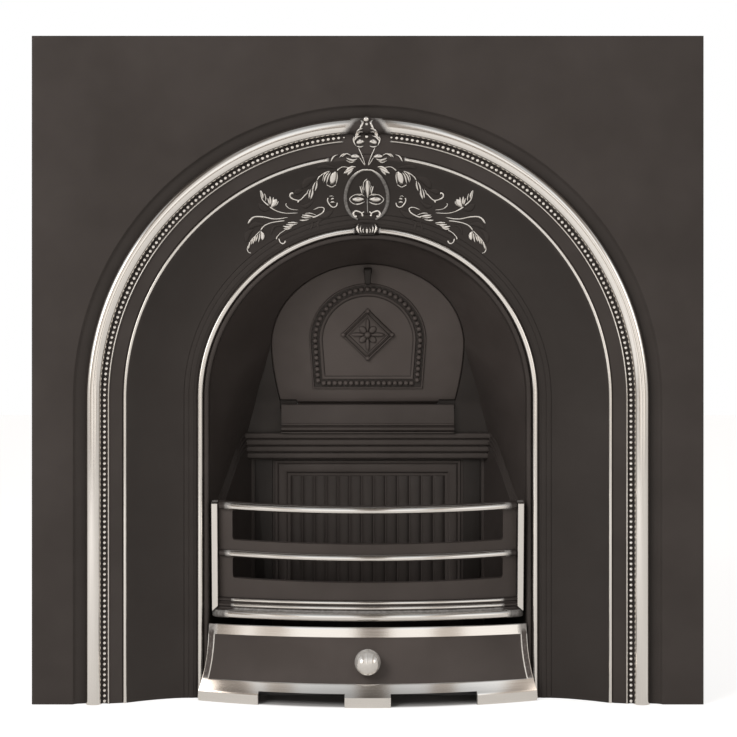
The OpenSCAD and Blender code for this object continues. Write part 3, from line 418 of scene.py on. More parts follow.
def make_plate_beads(polished):
    """The row of beads: balls at an even pitch along the legs and round the arch, left out and made
    smaller next to the crown's buds."""
    leg = SPRING_Z - BEAD_FOOT_Z
    total = 2 * leg + np.pi * BEAD_ROW_R
    s = np.linspace(0, total, int(total / BEAD_PITCH) + 1)
    turn = np.clip((s - leg) / BEAD_ROW_R, 0, np.pi)
    low = np.where(s < leg, BEAD_FOOT_Z + s, np.where(s > total - leg, BEAD_FOOT_Z + total - s, SPRING_Z))
    centres = xyz(-np.cos(turn) * BEAD_ROW_R, BEAD_Y, low + np.sin(turn) * BEAD_ROW_R)
    off = np.where(np.sin(turn) > 0.5, np.abs(centres[:, 0] - ORNAMENT_X), 1e3)
    size = BEAD_R * (0.5 + 0.5 * smooth(29, 43, off))
    shown = off > 31
    form = Form()
    add_balls(form, centres[shown], size[shown])
    build("plate_beads", form, polished, "casing")


# ---------------------------------------------------------------- the leaf spray
def curve(points, n=40):
    """A smooth curve through a few points: a Catmull-Rom spline read at n even steps."""
    p = np.asarray(points, float)
    p = np.concatenate([[2 * p[0] - p[1]], p, [2 * p[-1] - p[-2]]])
    t = np.linspace(0, len(p) - 3 - 1e-6, n)
    k, f = t.astype(int), (t % 1)[:, None]
    a, b, c, d = (p[k + i] for i in range(4))
    return 0.5 * (2 * b + (c - a) * f + (2 * a - 5 * b + 4 * c - d) * f ** 2
                  + (3 * b - a - 3 * c + d) * f ** 3)


def sideways(line):
    """Unit vectors to the left of a flat curve."""
    d = np.gradient(line, axis=0)
    d /= np.maximum(np.linalg.norm(d, axis=1, keepdims=True), 1e-9)
    return np.stack([-d[:, 1], d[:, 0]], -1)


def beside(line, offset):
    """A table of points [station, place across], each at its offset to the left of a flat curve."""
    return line[:, None] + offset[..., None] * sideways(line)[:, None]


def drape(x, z, lift):
    """Lays flat points (x from the centre line, z above the arch's centre) on the casting, lifted off it."""
    depth = front_depth(np.hypot(x + ORNAMENT_X, z))
    return xyz(x + ORNAMENT_X, depth - lift, z + SPRING_Z)


def on_clasp(x, z, lift):
    """Lays flat points on the clasp's body, a low dome that covers the inner bar at the crown."""
    dome = np.sqrt(np.clip(1 - ((z - 246.5) / 12.5) ** 2, 0.05, 1))
    return xyz(x + ORNAMENT_X, INNER_BAR[2] - 6.4 * dome - lift, z + SPRING_Z)


def on_flap(x, z, lift):
    """Lays flat points on the flap's face: x across, z up the flap, lifted off it."""
    return flap_point(x, -lift, z)


def add_petal(form, points, width, rise, place=drape, mirror=False, rub=1.0, foot_rub=-0.8):
    """One cast petal: its spine runs through a few points, its half width swells as a sine towards the
    tip, and its section is half an ellipse of the given rise, rubbed bright on top and darkened at its foot
    with painted shade."""
    t, v = np.linspace(0, 1, 15), np.linspace(-1, 1, 9)
    line = curve(points, len(t))
    swell = np.maximum(np.sin(np.pi * t ** 1.25), 0.02) ** 0.6
    flat = beside(line, v * (0.5 * width * swell)[:, None])
    dome = np.sqrt(np.maximum(1 - v ** 2, 0)) * np.minimum(swell[:, None] * 1.4, 1)
    x = -flat[..., 0] if mirror else flat[..., 0]
    top, foot = (place(x, flat[..., 1], lift) for lift in (rise * dome, -PETAL_SUNK))
    add_shell(form, top, foot, rub=foot_rub + (rub - foot_rub) * smooth(0.08, 0.45, dome))


def add_stem(form, points, thick, thin, mirror=False, rub=1.0):
    """A round stem on a curved line, half sunk in the casting. Its radius tapers from thick to thin and
    falls away at both ends."""
    t = np.linspace(0, 1, 46)
    line = curve(points, len(t))
    radius = thin + (thick - thin) * (1 - t) ** 0.8
    radius = (radius * np.sqrt(np.clip(np.minimum(t, 1 - t) * 14, 0.04, 1)))[:, None]
    cos_a, sin_a = circle(12)
    flat = beside(line, cos_a * radius)
    x = -flat[..., 0] if mirror else flat[..., 0]
    add_tube(form, drape(x, flat[..., 1], 0.35 * radius + sin_a * radius * 1.15),
             rub * smooth(-0.2, 0.5, sin_a))


# The spray's places were read off two enlargements of the photograph, one of its middle and one
# of its right half. Each gives the picture's pixel at its own corner, and its steps to a pixel.
ENLARGED = {"middle": (320, 108, 12), "right": (385, 160, 14)}
SPRAY_MIDDLE_PX, HORIZON_PX = 366.4, 270.0
SPRAY_MM_PX, EYE_Z = 1.4525, 624.9
PETAL_SPREAD, PETAL_SUNK, DULL_RISE, STEM_HALF = 1.3, 1.5, 1.2, 0.72
PETALS = {  # two ends and the middle of each spine, and the petal's width
    "right": (
        (175, 160, 205, 240, 234, 350, 78), (158, 165, 150, 245, 172, 350, 20),
        (236, 172, 276, 240, 304, 345, 24), (256, 165, 312, 235, 340, 328, 24),
        (272, 158, 335, 215, 358, 312, 14), (435, 285, 438, 360, 465, 445, 26),
        (452, 300, 484, 370, 502, 440, 24), (496, 390, 498, 470, 530, 556, 30),
        (518, 400, 540, 470, 550, 545, 22), (542, 405, 568, 445, 578, 490, 16),
        (684, 562, 694, 580, 712, 598, 24), (186, 545, 215, 538, 246, 552, 24),
        (180, 596, 215, 584, 252, 592, 26), (192, 518, 232, 500, 268, 518, 13),
        (440, 772, 530, 742, 612, 744, 18), (470, 792, 560, 778, 655, 766, 30),
        (505, 808, 600, 804, 668, 788, 20), (545, 828, 620, 842, 690, 838, 26),
        (695, 882, 770, 872, 856, 876, 24), (712, 892, 790, 904, 880, 898, 24),
        (750, 904, 835, 934, 925, 922, 30), (790, 938, 850, 964, 915, 958, 26),
        (1088, 668, 1030, 610, 1000, 540, 66), (1078, 650, 1050, 590, 1044, 515, 28),
        (1086, 640, 1084, 575, 1092, 505, 28), (1094, 640, 1108, 590, 1122, 530, 22),
        (1060, 655, 1000, 625, 970, 572, 20), (1158, 592, 1148, 540, 1166, 465, 18),
        (1194, 566, 1190, 500, 1218, 425, 28), (1232, 985, 1200, 1050, 1210, 1130, 52),
        (1242, 1008, 1246, 1080, 1264, 1158, 22), (1264, 1030, 1282, 1090, 1304, 1150, 20),
        (1290, 1042, 1312, 1100, 1342, 1182, 24), (1330, 1085, 1350, 1140, 1368, 1196, 16),
        (1370, 1120, 1388, 1180, 1404, 1252, 26), (1226, 996, 1192, 1024, 1178, 1062, 14)),
    "middle": (
        (680, 712, 745, 718, 818, 768, 30), (704, 722, 764, 758, 842, 792, 34),
        (716, 736, 750, 772, 794, 814, 24), (632, 604, 688, 584, 752, 592, 44),
        (660, 612, 722, 638, 806, 606, 26), (688, 640, 742, 662, 806, 634, 15),
        (738, 586, 796, 558, 862, 602, 18), (790, 560, 842, 564, 884, 608, 15),
        (896, 568, 950, 592, 988, 660, 19), (598, 262, 652, 286, 698, 352, 25),
        (598, 304, 652, 318, 708, 384, 22), (618, 346, 670, 362, 708, 412, 22),
        (580, 420, 628, 414, 682, 436, 50), (588, 464, 632, 478, 684, 468, 20),
        (703, 338, 714, 400, 684, 474, 18),
        (646, 148, 606, 196, 652, 302, 27), (576, 1064, 622, 1036, 694, 1034, 15),
        (578, 1118, 622, 1142, 686, 1162, 18), (582, 1092, 652, 1094, 738, 1096, 50),
        (606, 1046, 622, 990, 640, 930, 19), (596, 1030, 604, 970, 620, 925, 12))}
CLASP_RIBS = {"middle": ((652, 1384, 672, 1440, 644, 1512, 26), (622, 1400, 634, 1450, 618, 1506, 17),
                         (592, 1428, 600, 1470, 590, 1506, 15))}
MIDDLE_PETAL = {"middle": ((570, 1092, 566, 960, 565, 856, 46),)}
MIDDLE_RIB = {"middle": ((560, 1428, 560, 1470, 560, 1514, 30),)}
DULL_LEAVES = {  # low black leaves behind the bright ones, as petals
    "right": (
        (150, 120, 330, 100, 440, 125, 50), (430, 240, 560, 300, 640, 400, 80),
        (620, 430, 700, 440, 760, 470, 60),
        (200, 680, 300, 760, 430, 790, 70), (1090, 690, 1180, 680, 1250, 610, 70),
        (1150, 900, 1300, 900, 1400, 960, 60), (1320, 960, 1410, 1040, 1440, 1160, 60),
        (930, 920, 1040, 930, 1090, 1050, 34), (500, 850, 510, 920, 540, 985, 30),
        (360, 840, 430, 880, 410, 980, 34), (480, 560, 580, 640, 660, 640, 50))}
STEMS = {  # the line's points, and its thickness at its start and its end
    "right": (
        (((-40, 118), (50, 103), (100, 114), (158, 160)), 9, 13),
        (((250, 160), (330, 188), (400, 240), (434, 288)), 10, 14),
        (((165, 345), (230, 378), (302, 346)), 11, 11),
        (((560, 445), (620, 512), (680, 562), (745, 556), (802, 528), (812, 490), (784, 464), (764, 482)),
         12, 24),
        (((150, 588), (165, 640), (212, 658), (258, 626), (288, 570), (280, 522)), 14, 16),
        (((486, 692), (410, 662), (352, 664), (337, 694), (362, 735), (430, 776), (506, 806)), 10, 20),
        (((880, 975), (950, 1018), (1000, 1074), (1012, 1112)), 10, 14),
        (((976, 1090), (962, 1142), (924, 1168), (890, 1150), (888, 1122)), 12, 20),
        (((700, 696), (770, 692), (832, 672), (872, 632), (862, 604)), 6, 12),
        (((706, 738), (850, 744), (950, 730), (1040, 694), (1100, 655)), 8, 16),
        (((1106, 644), (1168, 592), (1204, 540), (1224, 428)), 16, 10),
        (((850, 800), (960, 820), (1060, 822), (1180, 798), (1290, 794), (1350, 820), (1408, 896)), 10, 26),
        (((890, 848), (980, 858), (1090, 880), (1180, 922), (1232, 986)), 12, 16),
        (((1230, 985), (1280, 1036), (1342, 1100), (1388, 1165), (1418, 1240), (1402, 1288), (1362, 1304)),
         12, 9)),
    "middle": (
        (((656, 488), (622, 560), (590, 640), (574, 694)), 9, 7),
        (((640, 604), (604, 660), (578, 694)), 9, 7),
        (((586, 1238), (612, 1262), (604, 1300)), 14, 20),
        (((604, 1268), (640, 1244), (692, 1232), (718, 1264), (700, 1300), (668, 1288)), 14, 28),
        (((528, 992), (520, 900), (563, 852)), 8, 8),
        (((600, 1130), (700, 1150), (762, 1096), (700, 1040), (620, 1050)), 8, 8))}
# the oval ring's right half, in mm: across from the centre line, up from the arch's centre
OVAL_RING = ((0, 331.8), (9, 330.4), (20.5, 321.5), (28.5, 306.5), (31.0, 291.3), (28.5, 277.5),
             (21.8, 266.5), (13, 260.5))
# three bosses on the centre line: across, up and radius
BOSSES = ((-0.8, 403.6, 4.5), (0, 396.2, 2.3), (0, 379.2, 2.8))
CLASP_FOOT, CLASP_TOP = 238, 256


def read_off(view, points):
    """Places in an enlargement as mm: across from the spray's centre line, up from the arch's centre."""
    left, top, steps = ENLARGED[view]
    pixels = np.asarray(points, float).reshape(-1, 2) / steps + (left, top)
    away = pixels - (SPRAY_MIDDLE_PX, HORIZON_PX)
    return away * (SPRAY_MM_PX, -SPRAY_MM_PX) + (0, EYE_Z - SPRING_Z)


def add_petals(form, groups, mirror=False, dull=False, proud=0.0, place=drape):
    """Adds petals read off the enlargements, a little wider than they show. A bright one stands up with
    its width, to 3.6 mm at most, and a dull one stays low and is darkened a little with painted shade."""
    for view, rows in groups.items():
        for row in rows:
            width = row[6] / ENLARGED[view][2] * SPRAY_MM_PX
            rise = DULL_RISE if dull else min(1.4 + 0.4 * width, 3.6) + proud
            add_petal(form, read_off(view, row[:6]), PETAL_SPREAD * width, rise, place, mirror,
                      -0.4 if dull else 1.0)


def make_leaf_spray(iron):
    """The cast leaf spray on the arch's crown, the same on both sides of its centre line: two buds, an
    oval ring round a palmette, a shell clasp, and scrolling stems with fluted leaves."""
    form = Form()
    for mirror in (False, True):
        side = -1 if mirror else 1
        for view, rows in STEMS.items():
            half_mm = STEM_HALF / ENLARGED[view][2] * SPRAY_MM_PX
            for points, thick, thin in rows:
                add_stem(form, read_off(view, points), thick * half_mm, thin * half_mm, mirror=mirror)
        add_petals(form, PETALS, mirror)
        add_petals(form, DULL_LEAVES, mirror, dull=True)
        add_petals(form, CLASP_RIBS, mirror, place=on_clasp)
        # one half of the oval ring: a flat band, bright only over its top
        t = np.linspace(0, 1, 60)
        half = 1.7 + 1.1 * smooth(0.1, 0.4, t) - 1.1 * smooth(0.75, 1, t)
        cos_a, sin_a = circle(14)
        flat = beside(curve(OVAL_RING, len(t)), cos_a * half[:, None])
        shine = 0.25 + 0.65 * smooth(0.34, 0.12, t)
        add_tube(form, drape(side * flat[..., 0], flat[..., 1], 0.6 + 2.6 * sin_a),
                 shine[:, None] * smooth(-0.1, 0.6, sin_a))
    add_petals(form, MIDDLE_PETAL, proud=0.8)
    add_petals(form, MIDDLE_RIB, proud=0.8, place=on_clasp)
    add_stem(form, ((0.9, 292), (1.2, 278), (1.6, 270)), 0.9, 0.6, rub=0.4)
    for x, z, r in BOSSES:
        add_balls(form, drape(x, z, 0.5 * r), r, rings=10, sides=16)
    # the clasp's low body behind its ribs, widening upwards, darkened with painted shade
    u, z = np.linspace(-1, 1, 15), np.linspace(CLASP_FOOT, CLASP_TOP, 9)[:, None]
    x = u * (11.0 + 3.0 * (z - CLASP_FOOT) / (CLASP_TOP - CLASP_FOOT))
    dome = np.sqrt(np.maximum(1 - u ** 2, 0)) * np.sqrt(np.clip(1 - ((z - 247) / 9.2) ** 2, 0, 1))
    add_shell(form, on_clasp(x, z, 0.6 * dome), on_clasp(x, z, -8), rub=-0.8)
    build("leaf_spray", form, iron, "casing", sharp=60)


# ---------------------------------------------------------------- hood, flap and lintel
def flap_point(x, y, v):
    """A point of the flap's plane: x across, y into the wall and v up the flap, which leans forward."""
    return leaning(x, y, v, WALL_Y, FLAP_Z, FLAP_LEAN)


def flap_side(v, grow):
    """Half width of the flap at v, below its widest line: it draws in towards the foot."""
    t = np.clip(v / FLAP_WAIST, 0, 1)
    return FLAP_FOOT_W + (FLAP_HALF_W - FLAP_FOOT_W) * (1 - (1 - t) ** 1.7) + grow


def flap_loop(grow, foot, notch=0.0):
    """The flap's outline grown by a distance, from its left foot round the crown to its right foot. The
    foot is raised by the notch beyond the hinge barrel."""
    v = np.linspace(foot + notch, FLAP_WAIST, 14, endpoint=False)
    a = np.linspace(np.pi, 0, 61)
    x = np.concatenate([-flap_side(v, grow), (FLAP_HALF_W + grow) * np.cos(a), flap_side(v[::-1], grow)])
    z = np.concatenate([v, FLAP_WAIST + (FLAP_CROWN + grow) * np.sin(a), v[::-1]])
    if notch:
        x = np.concatenate([[-NOTCH_X, -NOTCH_X - 1.5], x, [NOTCH_X + 1.5, NOTCH_X]])
        z = np.concatenate([[foot, foot + notch], z, [foot + notch, foot]])
    return x, z


def make_hood(iron):
    """The hood. Its funnel is ruled: straight lines join the arch's front edge to the flap's outline and
    to the creases that run down to the cornice; the first line follows the swag."""
    form = Form()
    across, leg, crown = np.linspace(0, 1, 26)[None, :], 18, 96
    w = np.linspace(0, 1, leg, endpoint=False)[:, None]
    depth = SEAL_Y + (WALL_Y - SEAL_Y) * across
    waist = flap_point(FLAP_HALF_W + FLAP_GAP, 0, FLAP_WAIST)
    foot_z, top_z = swag_z(depth), SPRING_Z + (waist[2] - SPRING_Z) * across
    back_x = CHEEK_BACK_X + (waist[0] - CHEEK_BACK_X) * w
    back_y = WALL_Y + (waist[1] - WALL_Y) * smooth(0.35, 1, w)
    flank = xyz(CHEEK_FRONT_X + (back_x - CHEEK_FRONT_X) * across, SEAL_Y + (back_y - SEAL_Y) * across,
                foot_z + (top_z - foot_z) * w)
    a = np.linspace(0, np.pi, crown + 1)
    front = xyz(CHEEK_FRONT_X * np.cos(a), SEAL_Y, SPRING_Z + CHEEK_FRONT_X * np.sin(a))
    rear = flap_point((FLAP_HALF_W + FLAP_GAP) * np.cos(a), 0,
                      FLAP_WAIST + (FLAP_CROWN + FLAP_GAP) * np.sin(a))
    arch = front[:, None] + (rear - front)[:, None] * across[..., None]
    table = np.concatenate([flank, arch, (flank * [-1, 1, 1])[::-1]])
    # the wall's thickness goes to the side that is farther from the origin
    wall = normals(table) * HOOD_WALL
    away, here = (np.linalg.norm(p[..., ::2], axis=-1, keepdims=True) for p in (table + wall, table))
    outer = np.where(away > here, table + wall, table - wall)
    outer[:, 0, 1] = SEAL_Y
    # painted shade: the funnel's sides are darkened, less so towards its crown
    painted_shade = np.concatenate([np.full(leg, -0.5), -0.5 * (1 - np.sin(a) ** 0.8), np.full(leg, -0.5)])
    add_shell(form, table, outer, rub=painted_shade[:, None])
    # rear wall beside the flap, out to the creases, darkened with painted shade
    v = np.linspace(-10, FLAP_WAIST, 16)
    z_rows = np.concatenate([np.linspace(CORNICE_Z, flap_point(0, 0, -10.0)[2], 5, endpoint=False),
                             flap_point(0, 0, v)[:, 2]])
    v_rows = (z_rows - FLAP_Z) / math.cos(FLAP_LEAN)
    inner_x = np.where(v_rows < -10.01, 96.0, flap_side(v_rows, FLAP_GAP))
    reach = np.clip((z_rows - CORNICE_Z) / (waist[2] - CORNICE_Z), 0, 1)
    outer_x = CHEEK_BACK_X + (waist[0] - CHEEK_BACK_X) * reach + 2.5
    y_rows = np.where(v_rows > 0, WALL_Y - v_rows * math.sin(FLAP_LEAN), WALL_Y)
    u = np.linspace(0, 1, 8)
    for side in (1, -1):
        wing = xyz(side * (inner_x[:, None] + (outer_x - inner_x)[:, None] * u),
                   y_rows[:, None], z_rows[:, None])
        add_shell(form, wing, wing + [0, HOOD_WALL, 0], rub=-0.9)
    add_box(form, (-98, WALL_Y, CORNICE_Z), (98, WALL_Y + HOOD_WALL, 411.5), 0.6)
    # a sill under the hinge barrel, and a flat rim behind the funnel's crown for the flap to close on, both
    # darkened with painted shade
    add_box(form, (-NOTCH_X, WALL_Y, SILL_FOOT_Z), (NOTCH_X, WALL_Y + SILL_D, SILL_TOP_Z), 0.6, rub=-1.0)
    rim = []
    for grow, back in ((FLAP_GAP, 0.3), (FLAP_GAP, 6.0), (FLAP_GAP + 7, 6.0), (FLAP_GAP + 7, 1.5)):
        x, v_rim = flap_loop(grow, FLAP_WAIST - 6)
        rim.append(flap_point(x, back, v_rim))
    add_tube(form, np.stack(rim, 1), -0.6)
    # bolting flange round the front
    stations = arch_stations(foot=SEAM_FRONT_Z)
    r = np.array([233.0, FLANGE_R - 1.5, FLANGE_R, FLANGE_R, FLANGE_R - 1.5, 233.0])
    y = SEAL_Y + np.array([0, 0, 1.5, FLANGE_T - 1.5, FLANGE_T, FLANGE_T])
    add_tube(form, on_arch(stations, r[None], y[None]))
    # hinge lugs: a round eye on a block that runs down the wall, darkened with painted shade
    hinge = flap_point(0, HINGE_D, 0)
    a = np.concatenate([np.linspace(0, np.pi, 18), [np.pi, 2 * np.pi]])
    drop = np.array([0.0] * 18 + [1.0, 1.0])
    eye_y = hinge[1] + LUG_R * np.cos(a)
    eye_z = hinge[2] + LUG_R * np.sin(a) * (1 - drop) - LUG_DROP * drop
    for side in (1, -1):
        xs = np.array([LUG_X, LUG_X + 0.8, LUG_X + LUG_W - 0.8, LUG_X + LUG_W]) * side
        add_tube(form, xyz(xs[:, None], eye_y, eye_z), -1.0)
    build("hood_casting", form, iron, "casing", ["hood"], sharp=30)


def add_flap_plate(form, rings, notch=0.0):
    """A plate of the flap's outline: rings of (growth, depth, foot) joined in order, both ends filled."""
    table = []
    for grow, depth, foot in rings:
        x, z = flap_loop(grow, foot, notch)
        table.append(flap_point(x, depth, z))
    add_tube(form, np.array(table))


def corner_normals(path):
    """Outward side vectors of a closed flat path, lengthened at its corners so that a section meets in a
    mitre."""
    d = np.roll(path, -1, axis=0) - path
    d /= np.linalg.norm(d, axis=1, keepdims=True)
    n1, n2 = (np.stack([q[:, 1], -q[:, 0]], -1) for q in (np.roll(d, 1, axis=0), d))
    n = n1 + n2
    return 2 * n / np.maximum((n * n).sum(1, keepdims=True), 0.5)


def add_frame(form, path, section, place, rub=0.0):
    """Carries a closed section of (distance across, height) round a closed flat path, mitred at corners."""
    flat = path[:, None] + section[None, :, :1] * corner_normals(path)[:, None]
    table = place(flat[..., 0], flat[..., 1], section[:, 1])
    form.add(table, [quads(*table.shape[:2], wrap_u=True, wrap_v=True)],
             np.broadcast_to(rub, table.shape[:2]), lay_of(table))


def make_flap(iron):
    """The damper flap: its leaning plate with rounded edges and a rear lap, the barrel, a beaded
    horseshoe and a framed flower of eight petals."""
    form = Form()
    add_flap_plate(form, [(-2.2, 0.0, 3.4), (-0.8, 0.3, 2.6), (-0.1, 1.0, 2.1), (0.1, 2.0, 2.0),
                          (0.1, 3.0, 2.0)], notch=3.2)
    add_flap_plate(form, [(-0.2, 2.6, 8.6), (0, 6.3, 8.6), (8, 6.3, 8.6), (8, 9.8, 8.6), (6.8, 11, 9.4)])
    hinge = flap_point(0, HINGE_D, 0)
    cos_a, sin_a = circle(28)
    xs = np.array([-NOTCH_X, -NOTCH_X + 0.8, NOTCH_X - 0.8, NOTCH_X])
    drawn = np.array([0.88, 1, 1, 0.88])[:, None]
    add_tube(form, xyz(xs[:, None], hinge[1] + BARREL_R * cos_a * drawn,
                       hinge[2] + BARREL_R * sin_a * drawn))
    block = np.array([(2.6, 2.2), (2.6, 18), (11.5, 18), (11.5, 2.2)])
    add_tube(form, flap_point(xs[:, None], block[None, :, 0], block[None, :, 1]))
    # horseshoe: circle above, nearly straight sides that draw in, and a level foot
    mid, r, foot, half = 99.5, 79.8, 32.0, 75.3
    arc = np.linspace(0, np.pi, 61)
    path = np.concatenate([np.stack([r * np.cos(arc), mid + r * np.sin(arc)], -1),
                           [(-(r - (r - half) * k), mid - (mid - foot) * k) for k in (0.25, 0.5, 0.75, 1.0)],
                           [((r - (r - half) * k), mid - (mid - foot) * k) for k in (1.0, 0.75, 0.5, 0.25)]])
    band = np.array([(-11.6, -0.8), (-11.6, 0.3), (-10.8, 1.0), (-9.4, 1.5), (-8.2, 2.2), (-7.2, 2.2),
                     (-6.5, 1.4), (-6, 0.1), (6, 0.1), (6.4, 1.4), (7, 2.4), (8, 2.6), (8.7, 1.8), (9, 0.2),
                     (9, -0.8)])
    # the band's hollows are darkened with painted shade
    add_frame(form, path, band, on_flap, np.where(band[:, 1] > 1.35, -0.1, -0.75))

    def add_shaded_balls(x, v, lift, radius, rings, sides):
        """Adds balls on the flap's face, black in front and darkened round their feet with painted shade."""
        centres = on_flap(x, v, lift).reshape(-1, 3)
        painted_shade = -0.8 * smooth(0.6, 0.1, -ball(rings, sides)[0][:, 1])
        add_balls(form, centres, radius, np.tile(painted_shade, len(centres)), rings, sides)

    # its beads: up the right side, over the circle and down the left, then along the level foot
    loop = np.concatenate([path, path[:1]])
    step = np.concatenate([[0], np.cumsum(np.linalg.norm(np.diff(loop, axis=0), axis=1))])
    foot_from, foot_to = step[len(arc) + 3], step[len(arc) + 4]
    rise = step[-1] - (foot_to - foot_from)
    upper = np.linspace(0, rise, int(rise / FLAP_BEAD_PITCH) + 1)
    upper = np.where(upper < foot_from, upper, upper + foot_to - foot_from)
    lower = np.linspace(foot_from, foot_to, 19)[1:-1]
    s = np.concatenate([upper % step[-1], lower])
    add_shaded_balls(np.interp(s, step, loop[:, 0]), np.interp(s, step, loop[:, 1]), 1.3, FLAP_BEAD_R, 8, 12)
    # the framed flower: two diamonds, a ball at each corner, and long and short petals in turn; the feet of
    # all are darkened with painted shade
    for size, height, wide in ((38.5, 4.0, 1.8), (31.0, 3.0, 1.4)):
        square = np.array([(0, size), (-size, 0), (0, -size), (size, 0)], float) + (0, FLOWER_V)
        a = np.linspace(0, np.pi, 7)
        arcs = np.stack([wide * np.cos(a), height * np.sin(a) * 0.999], -1)
        edge = wide + 1.6
        around = np.concatenate([arcs, [(-edge, -0.1), (-edge, -0.8), (edge, -0.8), (edge, -0.1)]])
        add_frame(form, square, around, on_flap, np.where(around[:, 1] > 0.55 * height, 0.0, -1.0))
    for dx, dz in ((37, 0), (-37, 0), (0, 37), (0, -37)):
        add_shaded_balls(dx, FLOWER_V + dz, 2.0, 3.8, 8, 14)
    for k in range(8):
        a = math.radians(45 * k)
        reach, wide, height = ((26.0, 7.0, 3.6), (17.5, 11.0, 3.0))[k % 2]
        points = [(q * math.cos(a), FLOWER_V + q * math.sin(a)) for q in (2.5, reach * 0.55, reach)]
        add_petal(form, points, wide, height, place=on_flap, rub=0.0, foot_rub=-1.0)
    add_shaded_balls(0.0, FLOWER_V, 2.6, 5.3, 10, 16)
    build("damper_flap", form, iron, "flap", ["damper_door"], sharp=42)


def make_flap_hook(iron):
    """The strap hook: a rounded strap that runs out of the flap, rises in a swan neck and hangs as a
    tapering tongue; its line is a smooth curve in depth and height. Its screw has a shank through the
    flap and a round head behind."""
    t = np.linspace(0, 1, 34)
    path = curve(((6, STRAP_V), (0, STRAP_V), (-4, STRAP_V + 1.6), (-7.6, STRAP_V + 5.4),
                  (-11, STRAP_V + 8.2), (-14.2, STRAP_V + 7.0), (-15.4, STRAP_V + 2.2), (-15.2, STRAP_V - 6),
                  (-14.6, STRAP_V - 15.3)), len(t))
    wide = 12.6 - 3.4 * smooth(0.5, 1.0, t)
    wide[-1] *= 0.55
    thick = np.where(t > 0.99, 2.0, 4.4)
    cos_a, sin_a = circle(20)
    ring = beside(path, np.sign(sin_a) * np.abs(sin_a) ** 0.7 * thick[:, None] / 2)
    x = np.sign(cos_a) * np.abs(cos_a) ** 0.5 * wide[:, None] / 2
    form = Form()
    # the whole strap is darkened to the deepest black, as painted shade
    add_tube(form, flap_point(x, ring[..., 0], ring[..., 1]), -1.0)
    cos_a, sin_a = circle(24)
    for r, ends in ((3.0, (4.0, 15.0)), (6.0, (12.0, 15.0))):
        add_tube(form, flap_point(r * cos_a, np.array(ends)[:, None], STRAP_V + r * sin_a))
    build("flap_hook", form, iron, "flap", ["damper_handle"])


def add_run(form, section, reach):
    """Carries a closed section of (depth, height) along X to the same reach on both sides: one for all
    of its points, or one for each, as between the cheeks."""
    add_tube(form, xyz(np.linspace(-1, 1, 5)[:, None] * reach, section[:, 0], section[:, 1]))


def make_lintel(iron):
    """The lintel: a level board with a torus and two fillets along its foot, carried along X."""
    y = WALL_Y - LINTEL_T
    a = np.linspace(np.pi / 2, 3 * np.pi / 2, 11)
    torus = np.stack([y + 0.6 + 4.4 * np.cos(a), 382.6 + 3.6 * np.sin(a)], -1)
    section = np.concatenate([
        [(WALL_Y, 376.0), (WALL_Y, 419.9), (y + 2.4, 419.9), (y + 0.8, 419.2), (y, 417.6), (y, 391.8),
         (y - 0.6, 391.0), (y - 1.8, 390.6), (y - 2.0, 388.6), (y - 0.6, 388.2), (y + 0.4, 386.6)],
        torus, [(y + 0.2, 378.6), (y - 2.6, 378.2), (y - 2.8, 376.4), (y - 2.2, 376.0)]])
    form = Form()
    add_run(form, section, LINTEL_HALF_W)
    build("lintel_board", form, iron, "casing", ["lintel"], sharp=30)


